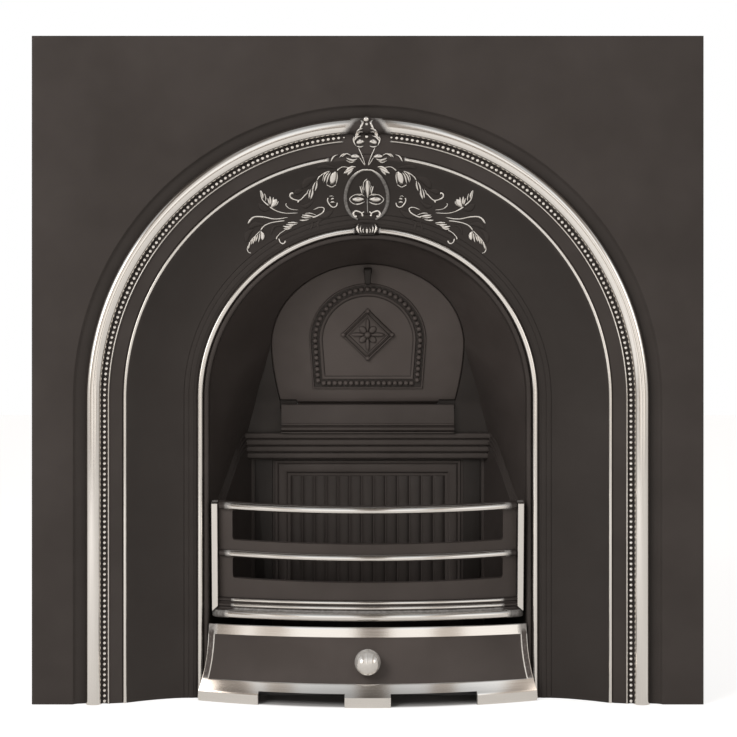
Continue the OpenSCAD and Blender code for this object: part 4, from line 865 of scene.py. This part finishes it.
# ---------------------------------------------------------------- fireback and cheeks
def make_fireback(iron):
    """The fireback: a plate with four cornice rows that step back, a panel frame with mitred corners and
    a row of convex reeds."""
    form = Form()
    add_box(form, (-BACK_HALF_W, BACK_Y, 0), (BACK_HALF_W, BACK_Y + BACK_T, CORNICE_Z), 1.0)
    rows = [(BACK_Y + 1, CORNICE_Z - 4 * CORNICE_ROW), (BACK_Y + 1, CORNICE_Z - 0.1)]
    for i in range(4):
        top, face = CORNICE_Z - 0.1 - i * CORNICE_ROW, WALL_Y - 10 + 3.4 * i
        a = np.linspace(0, np.pi / 2, 6)
        rows += [(face + 1.2, top), (face + 0.2, top - 0.5), (face, top - 1.4), (face, top - 5.8)]
        rows += [(face + 3.2 - 3.2 * math.cos(q), top - 5.8 - 3.2 * math.sin(q)) for q in a[1:]]
        rows += [(face + 4.6, top - 9.1), (face + 4.8, top - 9.9)]
    rows = np.array(rows)
    add_run(form, rows, cheek_x(rows[:, 0]) - 0.2)

    def on_back(x, z, lift):
        """Lays flat points on the fireback's face."""
        return xyz(x, BACK_Y - lift, z)

    half = REEDS * REED_PITCH / 2 + PANEL_FRAME_W
    path = np.array([(-half, PANEL_FOOT_Z), (half, PANEL_FOOT_Z), (half, PANEL_TOP_Z),
                     (-half, PANEL_TOP_Z)], float)
    a = np.linspace(0, np.pi, 13)
    torus = np.stack([-12.2 + 7.2 * np.cos(a), 1.8 + 3.0 * np.sin(a)], -1)
    section = np.concatenate([[(0, -0.8), (0, 1.8), (-0.8, 2.7), (-2.6, 3.0), (-4.2, 2.6)], torus,
                              [(-19.6, 1.0), (-21.4, 0.6), (-PANEL_FRAME_W, 0.3), (-PANEL_FRAME_W, -0.8)]])
    add_frame(form, path, section, on_back)
    # the reeds, darkened with painted shade
    x = np.linspace(-1, 1, REEDS * 14 + 1) * REEDS * REED_PITCH / 2
    place = (x / REED_PITCH + 0.5) % 1 - 0.5
    lift = 0.6 * (np.sqrt(np.maximum(10.07 ** 2 - (place * REED_PITCH) ** 2, 0)) - 5.03)
    z = np.array([PANEL_FOOT_Z + 20, PANEL_TOP_Z - 25.5, PANEL_TOP_Z - 24.2, PANEL_TOP_Z - 23.6])
    rise = np.array([1, 1, 0.8, 0.0])[:, None]
    face = on_back(x, z[:, None], lift * rise - 0.4 * (1 - rise))
    add_shell(form, face, face * [1, 0, 1] + [0, BACK_Y + 1.5, 0], rub=-0.55)
    # plain side strips, a little proud, between the frame and the cheeks, darkened with painted shade
    for side in (1, -1):
        add_side_box(form, side, (half + 3.4, half + 30), (BACK_Y - 3.2, BACK_Y + 1),
                     (20, CORNICE_Z - 4 * CORNICE_ROW + 1), -1.0)
    build("fireback_casting", form, iron, "casing", ["fireback"], sharp=34)


def make_cheeks(iron):
    """The two cheeks: a splayed wall whose top follows the swag, flanges at both ends, and four thin
    ridges carried along the swag."""
    slant, (cos_a, sin_a) = math.atan(CHEEK_SLOPE), circle(10)
    y = np.linspace(SEAL_Y, BACK_Y, 40)[:, None]
    face = xyz(cheek_x(y), y, np.linspace(0, 1, 14) * swag_z(y))
    outer = face + np.array([math.cos(slant), math.sin(slant), 0]) * HOOD_WALL
    outer[..., 1] = np.minimum(outer[..., 1], BACK_Y)
    run = np.linspace(SEAL_Y + 1, WALL_Y - 6, 44)[:, None]
    for name, side in (("left_cheek", -1), ("right_cheek", 1)):
        form = Form()
        add_shell(form, face * [side, 1, 1], outer * [side, 1, 1])
        add_side_box(form, side, (CHEEK_FRONT_X, FLANGE_R), (SEAL_Y, SEAL_Y + FLANGE_T), (0, SEAM_FRONT_Z))
        add_side_box(form, side, (cheek_x(BACK_Y - 7) + 1, BACK_HALF_W), (BACK_Y - FLANGE_T, BACK_Y),
                     (0, CORNICE_Z))
        for drop, radius in ((0.5, 1.6), (7.0, 2.2), (14.5, 2.2), (22.5, 2.2)):
            table = xyz(cheek_x(run) - 1.2 * radius * cos_a, run, swag_z(run) - drop + radius * sin_a)
            add_tube(form, table * [side, 1, 1])
        build(name + "_casting", form, iron, "casing", [name], sharp=34)


# ---------------------------------------------------------------- fire front, ledge and posts
def fret_point(x, y, v):
    """A point of the bars' leaning plane: y back from the middle of the bow, v up the posts."""
    return leaning(x, y, v, FRET_Y, LEDGE_Z, FRET_LEAN)


def bow(x, proud):
    """How far the bow falls back from its middle at x, for a line that stands proud of it."""
    return BOW_R - np.sqrt((BOW_R + proud) ** 2 - x ** 2)


def make_bright_bars(iron):
    """The polished faces of the two bars: a half round carried along the bow, its polish fading at its
    ends."""
    form = Form()
    x = np.concatenate([np.linspace(-216.4, -190, 12), np.linspace(-188, 188, 70),
                        np.linspace(190, 216.4, 12)])[:, None]
    a = np.linspace(-np.pi / 2, np.pi / 2, 15)
    bright = np.pad(smooth(0.02, 0.15, np.minimum(np.linspace(0, 1, 15), np.linspace(1, 0, 15))), (0, 2))
    ends = 1 - smooth(WINDOW_HALF_W - 4, WINDOW_HALF_W + 17, np.abs(x))
    for mid, half, proud in ((BARS_H - 5.0, 5.2, 7.4), (62.8, 4.7, 7.2)):
        f = np.append(proud * np.cos(a) ** 0.85, [-3, -3])
        v = np.append(mid + half * np.sin(a), [mid + half, mid - half])
        add_tube(form, fret_point(x, bow(x, f), v), ends * bright)
    build("bar_faces", form, iron, "front")


def make_ledge(iron):
    """The ledge and its posts: a moulded section carried along the bow, with two thin noses, a cove and
    a roll, and two leaning posts whose feet are mitred to the roll. Each end has an ear on its cheek and
    a flat strip along the back of its post."""
    def nose(f, z, r, reach=80):
        """A round about (f, z), from reach degrees below its front to as far above, bright in front."""
        return [(f + r * math.cos(q), z + r * math.sin(q), smooth(0.1, 0.5, math.cos(q)))
                for q in np.radians(np.linspace(-reach, reach, 13))]

    form = Form()
    f, z, bright = np.array([
        (-16.0, 119.0, 0.0), (8.0, 119.0, 0.0), *nose(10, 124.6, 5.8, 84),
        (9.4, 130.5, 0.25), (8.0, 131.1, 0.3), (7.0, 132.6, 0.3), (6.6, 133.8, 0.1), *nose(5.2, 136.7, 2.4),
        (4.6, 139.3, 0.0), (3.6, 140.0, 0.0), (3.2, 141.0, 0.0), *nose(2.4, 143.9, 2.4),
        (1.4, 146.8, 0.0), (-16.0, 146.8, 0.0)]).T
    x = (np.concatenate([[-1], np.linspace(-0.992, 0.992, 110), [1]]) * (LEDGE_HALF_W - 0.4))[:, None]
    # the noses return into the ledge at its ends, and the cheeks cut it off
    draw = np.where(f > 0, smooth(0, 10, LEDGE_HALF_W - np.abs(x)) ** 0.5, 1)
    back = FRET_Y + bow(x, f) + (1 - draw) * np.maximum(f, 0) * 0.9
    limit = SEAL_Y + (CHEEK_FRONT_X - np.abs(x)) / CHEEK_SLOPE
    # the polish of the noses ends at the posts, and that of the roll fades beyond them
    ends = 1 - smooth(WINDOW_HALF_W - 3, WINDOW_HALF_W + 2, np.abs(x))
    roll_ends = 1 - 0.75 * smooth(WINDOW_HALF_W + 4, WINDOW_HALF_W + 12, np.abs(x))
    add_tube(form, xyz(x, np.minimum(back, limit), z), np.where(z > 131.0, ends, roll_ends) * bright)
    for side in (1, -1):
        add_side_box(form, side, (206.5, 221.0), (60, 88), (120, 140))
        # post: a rectangle with rounded edges, its outer corner longer at the mitred foot
        box, middle = rounded(POST_W - 0.6, POST_D, 1.3), side * (LEDGE_HALF_W - POST_W / 2)
        foot = -8 * ((side * box[:, 0]) / (POST_W - 0.6) + 0.5)
        levels = ((foot - 14, 1), (foot - 12, 1), (0, 1), (60, 1), (BARS_H - 1, 1), (BARS_H, 0.9))
        add_tube(form, np.array([fret_point(middle + box[:, 0] * k, POST_Y + box[:, 1] * k, level)
                                 for level, k in levels]), smooth(-2, -9, box[:, 1]))
        low, high = sorted((side * 206.0, side * 226.5))
        add_tube(form, fret_point(np.array([low, high, high, low]), np.array([47.4, 47.4, 53.4, 53.4]),
                                  np.array([[-2.0], [115.0]])))
    build("ledge_and_posts", form, iron, "casing", ["bar_frame"], sharp=34)


# ---------------------------------------------------------------- ashpan cover and knob
def cover_point(u, z, back):
    """The flared cover at share u of its half width and height z, a distance back from its face: its bow
    is a parabola whose middle flares forward as the 2.6th power of the way down, and whose ends flare
    outwards instead. Its foot is an upright rim."""
    down = np.clip((COVER_H - z) / (COVER_H - COVER_RIM), 0, 1)
    wide = COVER_TOP_HALF_W + COVER_SPREAD * down ** 2.2
    middle, end = COVER_Y - COVER_FLARE * down ** 2.6, 37.0 - 8.0 * down ** 2.2
    return xyz(u * (wide - 0.4 * back), middle + (end - middle) * u ** 2 + back, z)


def make_ashpan_cover(iron):
    """The flared ashpan cover: a thin shell whose black panel is a little sunk inside a polished frame,
    with two air slots cut out of its skirt, and a neck that the knob seats on."""
    slot = np.array([SLOT_IN, SLOT_OUT]) / (COVER_TOP_HALF_W + COVER_SPREAD)
    thin = np.array([0.9525, 0.957, 0.9625, 0.9645, 0.968, 0.971, 0.985, 0.991, 0.995, 0.998])
    cols = np.unique(np.round(np.concatenate([np.linspace(-1, 1, 97), -slot, slot, -thin, thin]), 5))
    rows = np.unique(np.concatenate([np.linspace(0, COVER_H, 34), [COVER_RIM, SLOT_H, 31.2, 31.6, 32.0, 32.4,
                                                                  95.0, 95.4, 95.8, COVER_H - 0.9]]))
    u, z = np.meshgrid(cols, rows, indexing="ij")
    sunk = smooth(31.4, 32.3, z) * smooth(95.7, 94.9, z) * smooth(0.9635, 0.9565, np.abs(u))
    edge = smooth(COVER_H - 1.2, COVER_H, z) * 0.8 + 1.4 * np.clip((z - 96) / 13.8, 0, 1)
    face = cover_point(u, z, PANEL_SUNK * sunk + edge)
    mid_u, mid_z = np.abs(cols[1:] + cols[:-1]) / 2, (rows[1:] + rows[:-1]) / 2
    keep = ~(((mid_u > slot[0]) & (mid_u < slot[1]))[:, None] & (mid_z < SLOT_H))
    # the narrow side strips are dull between their two bright edges, and the panel is darkened towards its
    # sides with painted shade
    u_out = np.abs(u)
    strip = smooth(0.9635, 0.968, u_out) * smooth(0.9985, 0.995, u_out)
    strip *= smooth(30, 34, z) * smooth(104, 96, z)
    top_ends = smooth(0.93, 0.975, u_out) * smooth(94, 97, z)
    rub = (1 - smooth(0.25, 0.6, sunk)) * (1 - 0.9 * strip) * (1 - 0.7 * top_ends)
    rub -= 0.35 * smooth(0.6, 1, sunk) * smooth(0.35, 0.95, u_out)
    form = Form()
    add_shell(form, face, cover_point(u, z, COVER_T), keep, rub)
    neck = turned(np.array([8.6, 8.6, 8.2, 7.4]), np.array([6.0, -1.0, -2.6, NECK_Y]), KNOB_Z, 32)
    add_tube(form, neck, 1.0)
    build("ashpan_front", form, iron, "cover", ["ashpan_cover"], sharp=32)


def make_knob(polished):
    """The ball knob: a ball turned about Y, cut flat where it meets its neck."""
    a = np.linspace(0, np.pi, 40)
    y, r = KNOB_Y - KNOB_R * np.cos(a), KNOB_R * np.sin(a)
    r[0] = 0.05
    kept = y < NECK_Y - 0.05
    form = Form()
    add_tube(form, turned(np.append(r[kept], 6.5), np.append(y[kept], NECK_Y), KNOB_Z, 56), 1.0)
    build("ball_knob", form, polished, "cover", ["ashpan_knob"], sharp=50)


# ---------------------------------------------------------------- materials
def nodes_for(name):
    """A new material's node tree, with its Principled shader."""
    material = bpy.data.materials.new(name)
    material.use_nodes = True
    return material, material.node_tree, material.node_tree.nodes["Principled BSDF"]


def is_socket(value):
    """Whether a value comes out of another node."""
    return isinstance(value, bpy.types.NodeSocket)


def fit(tree, node, inputs):
    """Gives a node's inputs, by name or place, their values, or links them to other nodes."""
    for key, value in inputs.items():
        if is_socket(value):
            tree.links.new(value, node.inputs[key])
        else:
            node.inputs[key].default_value = value


def noise(tree, vector, scale, detail):
    """Noise at a scale per metre and with a number of finer layers, read at a vector."""
    node = tree.nodes.new("ShaderNodeTexNoise")
    fit(tree, node, {"Vector": vector, "Scale": scale, "Detail": detail, "Roughness": 0.55})
    return node.outputs["Fac"]


def ranged(tree, value, low, high, new_low, new_high, ease=False):
    """Maps a value from one range to another, clamped."""
    node = tree.nodes.new("ShaderNodeMapRange")
    if ease:
        node.interpolation_type = "SMOOTHSTEP"
    fit(tree, node, {"Value": value, "From Min": low, "From Max": high,
                     "To Min": new_low, "To Max": new_high})
    return node.outputs["Result"]


def mixed(tree, share, a, b, kind="RGBA"):
    """Mixes two colours, or two numbers, each given as a value or as a socket."""
    node = tree.nodes.new("ShaderNodeMix")
    node.data_type = kind
    first, second, out = (6, 7, 2) if kind == "RGBA" else (2, 3, 0)
    a, b = ((*value, 1.0) if kind == "RGBA" and not is_socket(value) else value for value in (a, b))
    fit(tree, node, {0: share, first: a, second: b})
    return node.outputs[out]


def worked(tree, operation, a, b=0.0):
    """One sum on two numbers, each given as a value or as a socket."""
    node = tree.nodes.new("ShaderNodeMath")
    node.operation = operation
    fit(tree, node, {0: a, 1: b})
    return node.outputs[0]


def bumped(tree, shader, height, strength, distance):
    """Adds a bump to a shader, of a strength given as a value or as a socket."""
    node = tree.nodes.new("ShaderNodeBump")
    fit(tree, node, {"Height": height, "Strength": strength, "Distance": distance})
    tree.links.new(node.outputs["Normal"], shader.inputs["Normal"])


def object_vector(tree):
    """The piece's own coordinates, in metres."""
    return tree.nodes.new("ShaderNodeTexCoord").outputs["Object"]


def held(tree, name, output):
    """What the mesh holds at each point under a name: rub as a number, or lay as a vector."""
    node = tree.nodes.new("ShaderNodeAttribute")
    node.attribute_name = name
    return node.outputs[output]


def stretched(tree, vector, scale):
    """A vector, each of its coordinates multiplied by its own scale."""
    node = tree.nodes.new("ShaderNodeMapping")
    fit(tree, node, {"Vector": vector, "Scale": scale})
    return node.outputs["Vector"]


def polishing_marks(tree):
    """Noise in fine lines along the piece: slow along it, at 14 per metre, and 900 per metre across."""
    return noise(tree, stretched(tree, held(tree, "lay", "Vector"), (14, 900, 1)), 1.0, 3)


BLACK_DARK, BLACK_LIGHT = np.array((0.0300, 0.0246, 0.0222)), np.array((0.0420, 0.0350, 0.0320))
BLACK_SHADE = (0.010, 0.008, 0.007)
BRIGHT_WARM, BRIGHT_PALE = (0.78, 0.75, 0.71), (0.90, 0.88, 0.85)
BLACK_SHEEN, BLACK_GLOSS_LEVEL = (1.0, 0.94, 0.90), 0.42


def black_iron_material(name="satin_black_iron", painted_light=1.0):
    """Satin charcoal casting: a fine cast grain and slow changes of tone and gloss. Where rub is high
    the iron is polished bright, with fine marks along the moulding, and where it is below 0 the black is
    darkened as painted shade. painted_light makes one casting paler, as painted light."""
    material, tree, shader = nodes_for(name)
    place = object_vector(tree)
    broad, fine = noise(tree, place, 7, 3), noise(tree, place, 620, 4)
    tone = ranged(tree, broad, 0.35, 0.65, 0, 1)
    # painted light: the casting's two blacks are multiplied by painted_light
    colour = mixed(tree, tone, BLACK_DARK * painted_light, BLACK_LIGHT * painted_light)
    gloss = ranged(tree, noise(tree, place, 38, 5), 0.3, 0.7, 0.43, 0.54)
    rub = held(tree, "rub", "Fac")
    # painted shade: below 0 the black is mixed towards a deeper black, where shade falls in hollows
    colour = mixed(tree, ranged(tree, rub, -1, 0, 1, 0), colour, BLACK_SHADE)
    wear = ranged(tree, noise(tree, place, 260, 4), 0.3, 0.7, -0.08, 0.08)
    share = ranged(tree, worked(tree, "ADD", rub, wear), 0.1, 0.9, 0, 1)
    marks = polishing_marks(tree)
    bright = mixed(tree, ranged(tree, marks, 0.3, 0.7, 0.3, 0.7), BRIGHT_WARM, BRIGHT_PALE)
    colour = mixed(tree, share, colour, bright)
    gloss = mixed(tree, share, gloss, ranged(tree, marks, 0.3, 0.7, 0.09, 0.14), "FLOAT")
    fit(tree, shader, {"Metallic": share, "Base Color": colour, "Roughness": gloss,
                       "Specular Tint": (*BLACK_SHEEN, 1.0), "Specular IOR Level": BLACK_GLOSS_LEVEL})
    bumped(tree, shader, fine, mixed(tree, share, 0.16, 0.03, "FLOAT"), 0.0004)
    return material


def polished_material(name="polished_iron", metal=1.0):
    """Bright polished iron: pale, with fine polishing marks along the piece in its gloss and bump. A
    metal below 1 leaves a paler, softer shine."""
    material, tree, shader = nodes_for(name)
    marks = polishing_marks(tree)
    cloud = noise(tree, object_vector(tree), 22, 3)
    colour = mixed(tree, ranged(tree, cloud, 0.35, 0.65, 0, 1), BRIGHT_WARM, BRIGHT_PALE)
    fit(tree, shader, {"Base Color": colour, "Roughness": ranged(tree, marks, 0.3, 0.7, 0.08, 0.14),
                       "Metallic": metal})
    bumped(tree, shader, marks, 0.05, 0.0002)
    return material


PLAIN_FINISHES = {
    # two colours; scale and layers of the noise that moves between them, and the range it is read in;
    # the same noise for the gloss, with its two roughnesses; the noise, strength and depth of the bump;
    # how metallic it is, and how its noise is stretched along X, Y and Z
    "raw_iron": ((0.024, 0.022, 0.021), (0.058, 0.053, 0.050), (45, 5, 0.4, 0.65), (90, 4, 0.55, 0.75),
                 (380, 5, 0.4, 0.0006), 0.0, (1, 1, 1)),
    "zinc_plate": ((0.42, 0.43, 0.45), (0.60, 0.61, 0.62), (160, 3, 0.4, 0.6), (60, 4, 0.28, 0.46),
                   (900, 2, 0.08, 0.0002), 1.0, (1, 1, 1)),
    "pressed_steel": ((0.13, 0.13, 0.135), (0.22, 0.22, 0.225), (1.0, 4, 0.3, 0.7), (1.0, 4, 0.34, 0.5),
                      (1.0, 4, 0.08, 0.0002), 1.0, (6, 240, 240)),
}


def plain_material(name):
    """A plain finish, whose noise moves its tone and its gloss and makes its grain. Raw iron is the coarse
    black skin of an unpainted casting, zinc plate has a fine spangle and slightly dulled patches, and
    pressed steel, rolled along X, has long faint streaks."""
    dark, light, tone, gloss, grain, metal, stretch = PLAIN_FINISHES[name]
    material, tree, shader = nodes_for(name)
    place = stretched(tree, object_vector(tree), stretch)
    share = ranged(tree, noise(tree, place, *tone[:2]), *tone[2:], 0, 1)
    rough = ranged(tree, noise(tree, place, *gloss[:2]), 0.3, 0.7, *gloss[2:])
    fit(tree, shader, {"Base Color": mixed(tree, share, dark, light), "Roughness": rough, "Metallic": metal})
    bumped(tree, shader, noise(tree, place, *grain[:2]), *grain[2:])
    return material


def rope_material():
    """Braided glass fibre rope: pale, with a crossing weave in its tone and bump."""
    material, tree, shader = nodes_for("flue_rope")
    wave = tree.nodes.new("ShaderNodeTexWave")
    fit(tree, wave, {"Vector": object_vector(tree), "Scale": 180, "Distortion": 2.0})
    colour = mixed(tree, wave.outputs["Fac"], (0.50, 0.49, 0.45), (0.72, 0.71, 0.66))
    fit(tree, shader, {"Base Color": colour, "Roughness": 0.9})
    bumped(tree, shader, wave.outputs["Fac"], 0.5, 0.001)
    return material


# ---------------------------------------------------------------- floor, light and camera
AMBIENT, WARM_GLOW, SCREEN_TINT = 0.44, (1.0, 0.95, 0.89), (1.0, 0.88, 0.78)
FLOOR_GREY, FLOOR_GLOW = (0.50, 0.49, 0.48), (0.34, 0.76)  # its glow in reflections and to the eye
# the floor under the object, where its glow is taken out as a painted shadow, in metres: how its front bows
# back, and where its edges begin and end
FOOT_BOW, FOOT_FRONT, FOOT_BACK, FOOT_SIDE = 0.9, (-0.024, -0.012), (0.19, 0.2), (0.235, 0.25)
FOCUS_PX, PICTURE_PX, SENSOR_MM, CAMERA_AWAY_M = 2086, 737, 36.0, 3.0
DARK_SCREENS = (  # across, half width, how dark: upright screens seen in reflections
    (0.02, 0.09, 0.72), (0.32, 0.08, 0.45), (-0.38, 0.09, 0.40), (0.70, 0.14, 0.50), (-0.61, 0.15, 0.68),
)
SOFT_BOXES = (  # direction, inner and outer half angles, strength: seen in reflections
    ((-0.82, -0.52, 0.24), 10, 16, 2.0),
    ((0.86, -0.46, 0.24), 8, 15, 1.3),
)


def make_floor():
    """A plain pale floor. Its own colour takes the shadow, and a little glow that only shows to the eye
    and in reflections lifts its lit part to white."""
    points = np.array([(-6, -4, 0), (6, -4, 0), (6, 6, 0), (-6, 6, 0)], float) + (0, 0, -0.0006)
    mesh = bpy.data.meshes.new("floor")
    mesh.from_pydata(points.tolist(), [], [(0, 1, 2, 3)])
    floor = placed("floor", mesh)
    material, tree, shader = nodes_for("pale_floor")
    fit(tree, shader, {"Base Color": (*FLOOR_GREY, 1), "Roughness": 0.85, "Specular IOR Level": 0.1})
    path = tree.nodes.new("ShaderNodeLightPath")
    # 1 on rays from the camera, in a reflection or through glass, and 0 on rays that only carry light
    share = worked(tree, "MAXIMUM", path.outputs["Is Camera Ray"], path.outputs["Is Glossy Ray"])
    share = worked(tree, "MAXIMUM", share, path.outputs["Is Transmission Ray"])
    glow = worked(tree, "MULTIPLY", share, mixed(tree, path.outputs["Is Camera Ray"], *FLOOR_GLOW, "FLOAT"))
    tint = mixed(tree, path.outputs["Is Camera Ray"], WARM_GLOW, (1, 1, 1))
    tree.links.new(tint, shader.inputs["Emission Color"])
    # no glow under the object, inside the curve of the ashpan cover's foot: a painted shadow there
    split = tree.nodes.new("ShaderNodeSeparateXYZ")
    tree.links.new(object_vector(tree), split.inputs[0])
    x, y = split.outputs["X"], split.outputs["Y"]
    bowed = worked(tree, "MULTIPLY", worked(tree, "MULTIPLY", x, x), FOOT_BOW)
    behind = ranged(tree, worked(tree, "SUBTRACT", y, bowed), *FOOT_FRONT, 0, 1)
    near = worked(tree, "MULTIPLY", ranged(tree, y, *FOOT_BACK, 1, 0),
                  ranged(tree, worked(tree, "ABSOLUTE", x), *FOOT_SIDE, 1, 0))
    under = worked(tree, "MULTIPLY", behind, near)
    glow = worked(tree, "MULTIPLY", glow, worked(tree, "SUBTRACT", 1.0, under))
    tree.links.new(glow, shader.inputs["Emission Strength"])
    mesh.materials.append(material)


def make_world():
    """Soft studio surroundings: even light for the surfaces, white to the camera, and in reflections
    pale with upright darker screens, greyer overhead, and two bright soft boxes, so that rounds show."""
    world = bpy.data.worlds.new("studio")
    bpy.context.scene.world = world
    world.use_nodes = True
    tree = world.node_tree
    tree.nodes.clear()
    out = tree.nodes.new("ShaderNodeOutputWorld")
    path = tree.nodes.new("ShaderNodeLightPath")
    coords = tree.nodes.new("ShaderNodeTexCoord")
    split = tree.nodes.new("ShaderNodeSeparateXYZ")
    tree.links.new(coords.outputs["Generated"], split.inputs[0])
    clear = 1.0
    for across, half, dark in DARK_SCREENS:
        off = worked(tree, "ABSOLUTE", worked(tree, "SUBTRACT", split.outputs["X"], across))
        clear = worked(tree, "MULTIPLY", clear, ranged(tree, off, 0.35 * half, half, 1 - dark, 1, ease=True))
    sides = ranged(tree, split.outputs["Y"], -0.80, -0.45, 1.12, 0.66, ease=True)
    overhead = ranged(tree, split.outputs["Z"], 0.30, 0.85, 1.0, 0.60, ease=True)
    shine = worked(tree, "MULTIPLY", worked(tree, "MULTIPLY", clear, sides), overhead)
    for toward, inner, outer, power in SOFT_BOXES:
        node = tree.nodes.new("ShaderNodeVectorMath")
        node.operation = "DOT_PRODUCT"
        fit(tree, node, {0: coords.outputs["Generated"], 1: Vector(toward).normalized()})
        far, near = (math.cos(math.radians(angle)) for angle in (outer, inner))
        spot = ranged(tree, node.outputs["Value"], far, near, 0, power, ease=True)
        shine = worked(tree, "ADD", shine, spot)
    strength = mixed(tree, path.outputs["Is Glossy Ray"], AMBIENT, shine, "FLOAT")
    strength = mixed(tree, path.outputs["Is Camera Ray"], strength, 1.0, "FLOAT")
    height = ranged(tree, split.outputs["Z"], -0.1, 0.5, 0, 1, ease=True)
    tint = mixed(tree, height, WARM_GLOW, (0.98, 0.99, 1.0))
    tint = mixed(tree, ranged(tree, clear, 0.5, 1.0, 0, 1), SCREEN_TINT, tint)
    tint = mixed(tree, path.outputs["Is Camera Ray"], tint, (1, 1, 1))
    background = tree.nodes.new("ShaderNodeBackground")
    fit(tree, background, {"Color": tint, "Strength": strength})
    tree.links.new(background.outputs[0], out.inputs["Surface"])


def add_lamp(name, place, target, size, power):
    """A square soft lamp at a place, turned towards a target. Reflections show the world's soft boxes."""
    light = bpy.data.lights.new(name, "AREA")
    light.size = size
    light.energy = power
    lamp = placed(name, light)
    lamp.visible_glossy = False
    lamp.location = place
    aim = Vector(target) - Vector(place)
    lamp.rotation_euler = aim.to_track_quat("-Z", "Y").to_euler()


def make_camera():
    """The photograph's view: level, 3 m in front of the plate, with the picture shifted down."""
    data = bpy.data.cameras.new("camera")
    data.sensor_width = SENSOR_MM
    data.lens = FOCUS_PX / PICTURE_PX * SENSOR_MM
    data.shift_x, data.shift_y = 0.0011, -0.1337
    camera = placed("camera", data)
    camera.location = (0, -CAMERA_AWAY_M, EYE_Z / 1000)
    camera.rotation_euler = (math.pi / 2, 0, 0)
    bpy.context.scene.camera = camera


def main():
    """Sets the stage, makes every piece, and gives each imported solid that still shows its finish."""
    make_camera()
    make_world()
    make_floor()
    add_lamp("key", (-1.7, -2.4, 2.0), (0, 0, 0.5), 1.5, 74)
    add_lamp("fill", (2.6, -2.4, 1.4), (0, 0, 0.4), 1.8, 10)
    black, polished = black_iron_material(), polished_material()
    make_front_plate(black)
    make_plate_beads(polished)
    make_leaf_spray(black)
    # lighter copies of the black iron, as painted light: the flap, hood, lintel and fireback and ashpan cover
    # have their black multiplied brighter
    flap_black = black_iron_material("satin_black_flap", painted_light=2.0)
    make_hood(black_iron_material("satin_black_hood", painted_light=1.9))
    make_flap(flap_black)
    make_flap_hook(black)
    back_black = black_iron_material("satin_black_back", painted_light=1.3)
    make_lintel(back_black)
    make_fireback(back_black)
    make_cheeks(black)
    make_bright_bars(black)
    make_ledge(black)
    make_ashpan_cover(black_iron_material("satin_black_cover", painted_light=2.0))
    make_knob(polished_material("polished_knob", metal=0.62))
    # the fire front's black is multiplied 1.5 times brighter, as painted light
    finishes = {"raw_iron": plain_material("raw_iron"), "bright_steel": plain_material("zinc_plate"),
                "pan_steel": plain_material("pressed_steel"), "flue_rope": rope_material(),
                "fire_front": black_iron_material("satin_black_bars", painted_light=1.5)}
    for row in frame["record"]["subparts"]:
        node = frame["nodes"][row["node"]]
        if not node.hide_render:
            finish = finishes.get(row["material_slot"], finishes.get(row["node"], black))
            node.material_slots[0].material = finish
    bpy.context.scene.view_settings.view_transform = "Standard"


main()
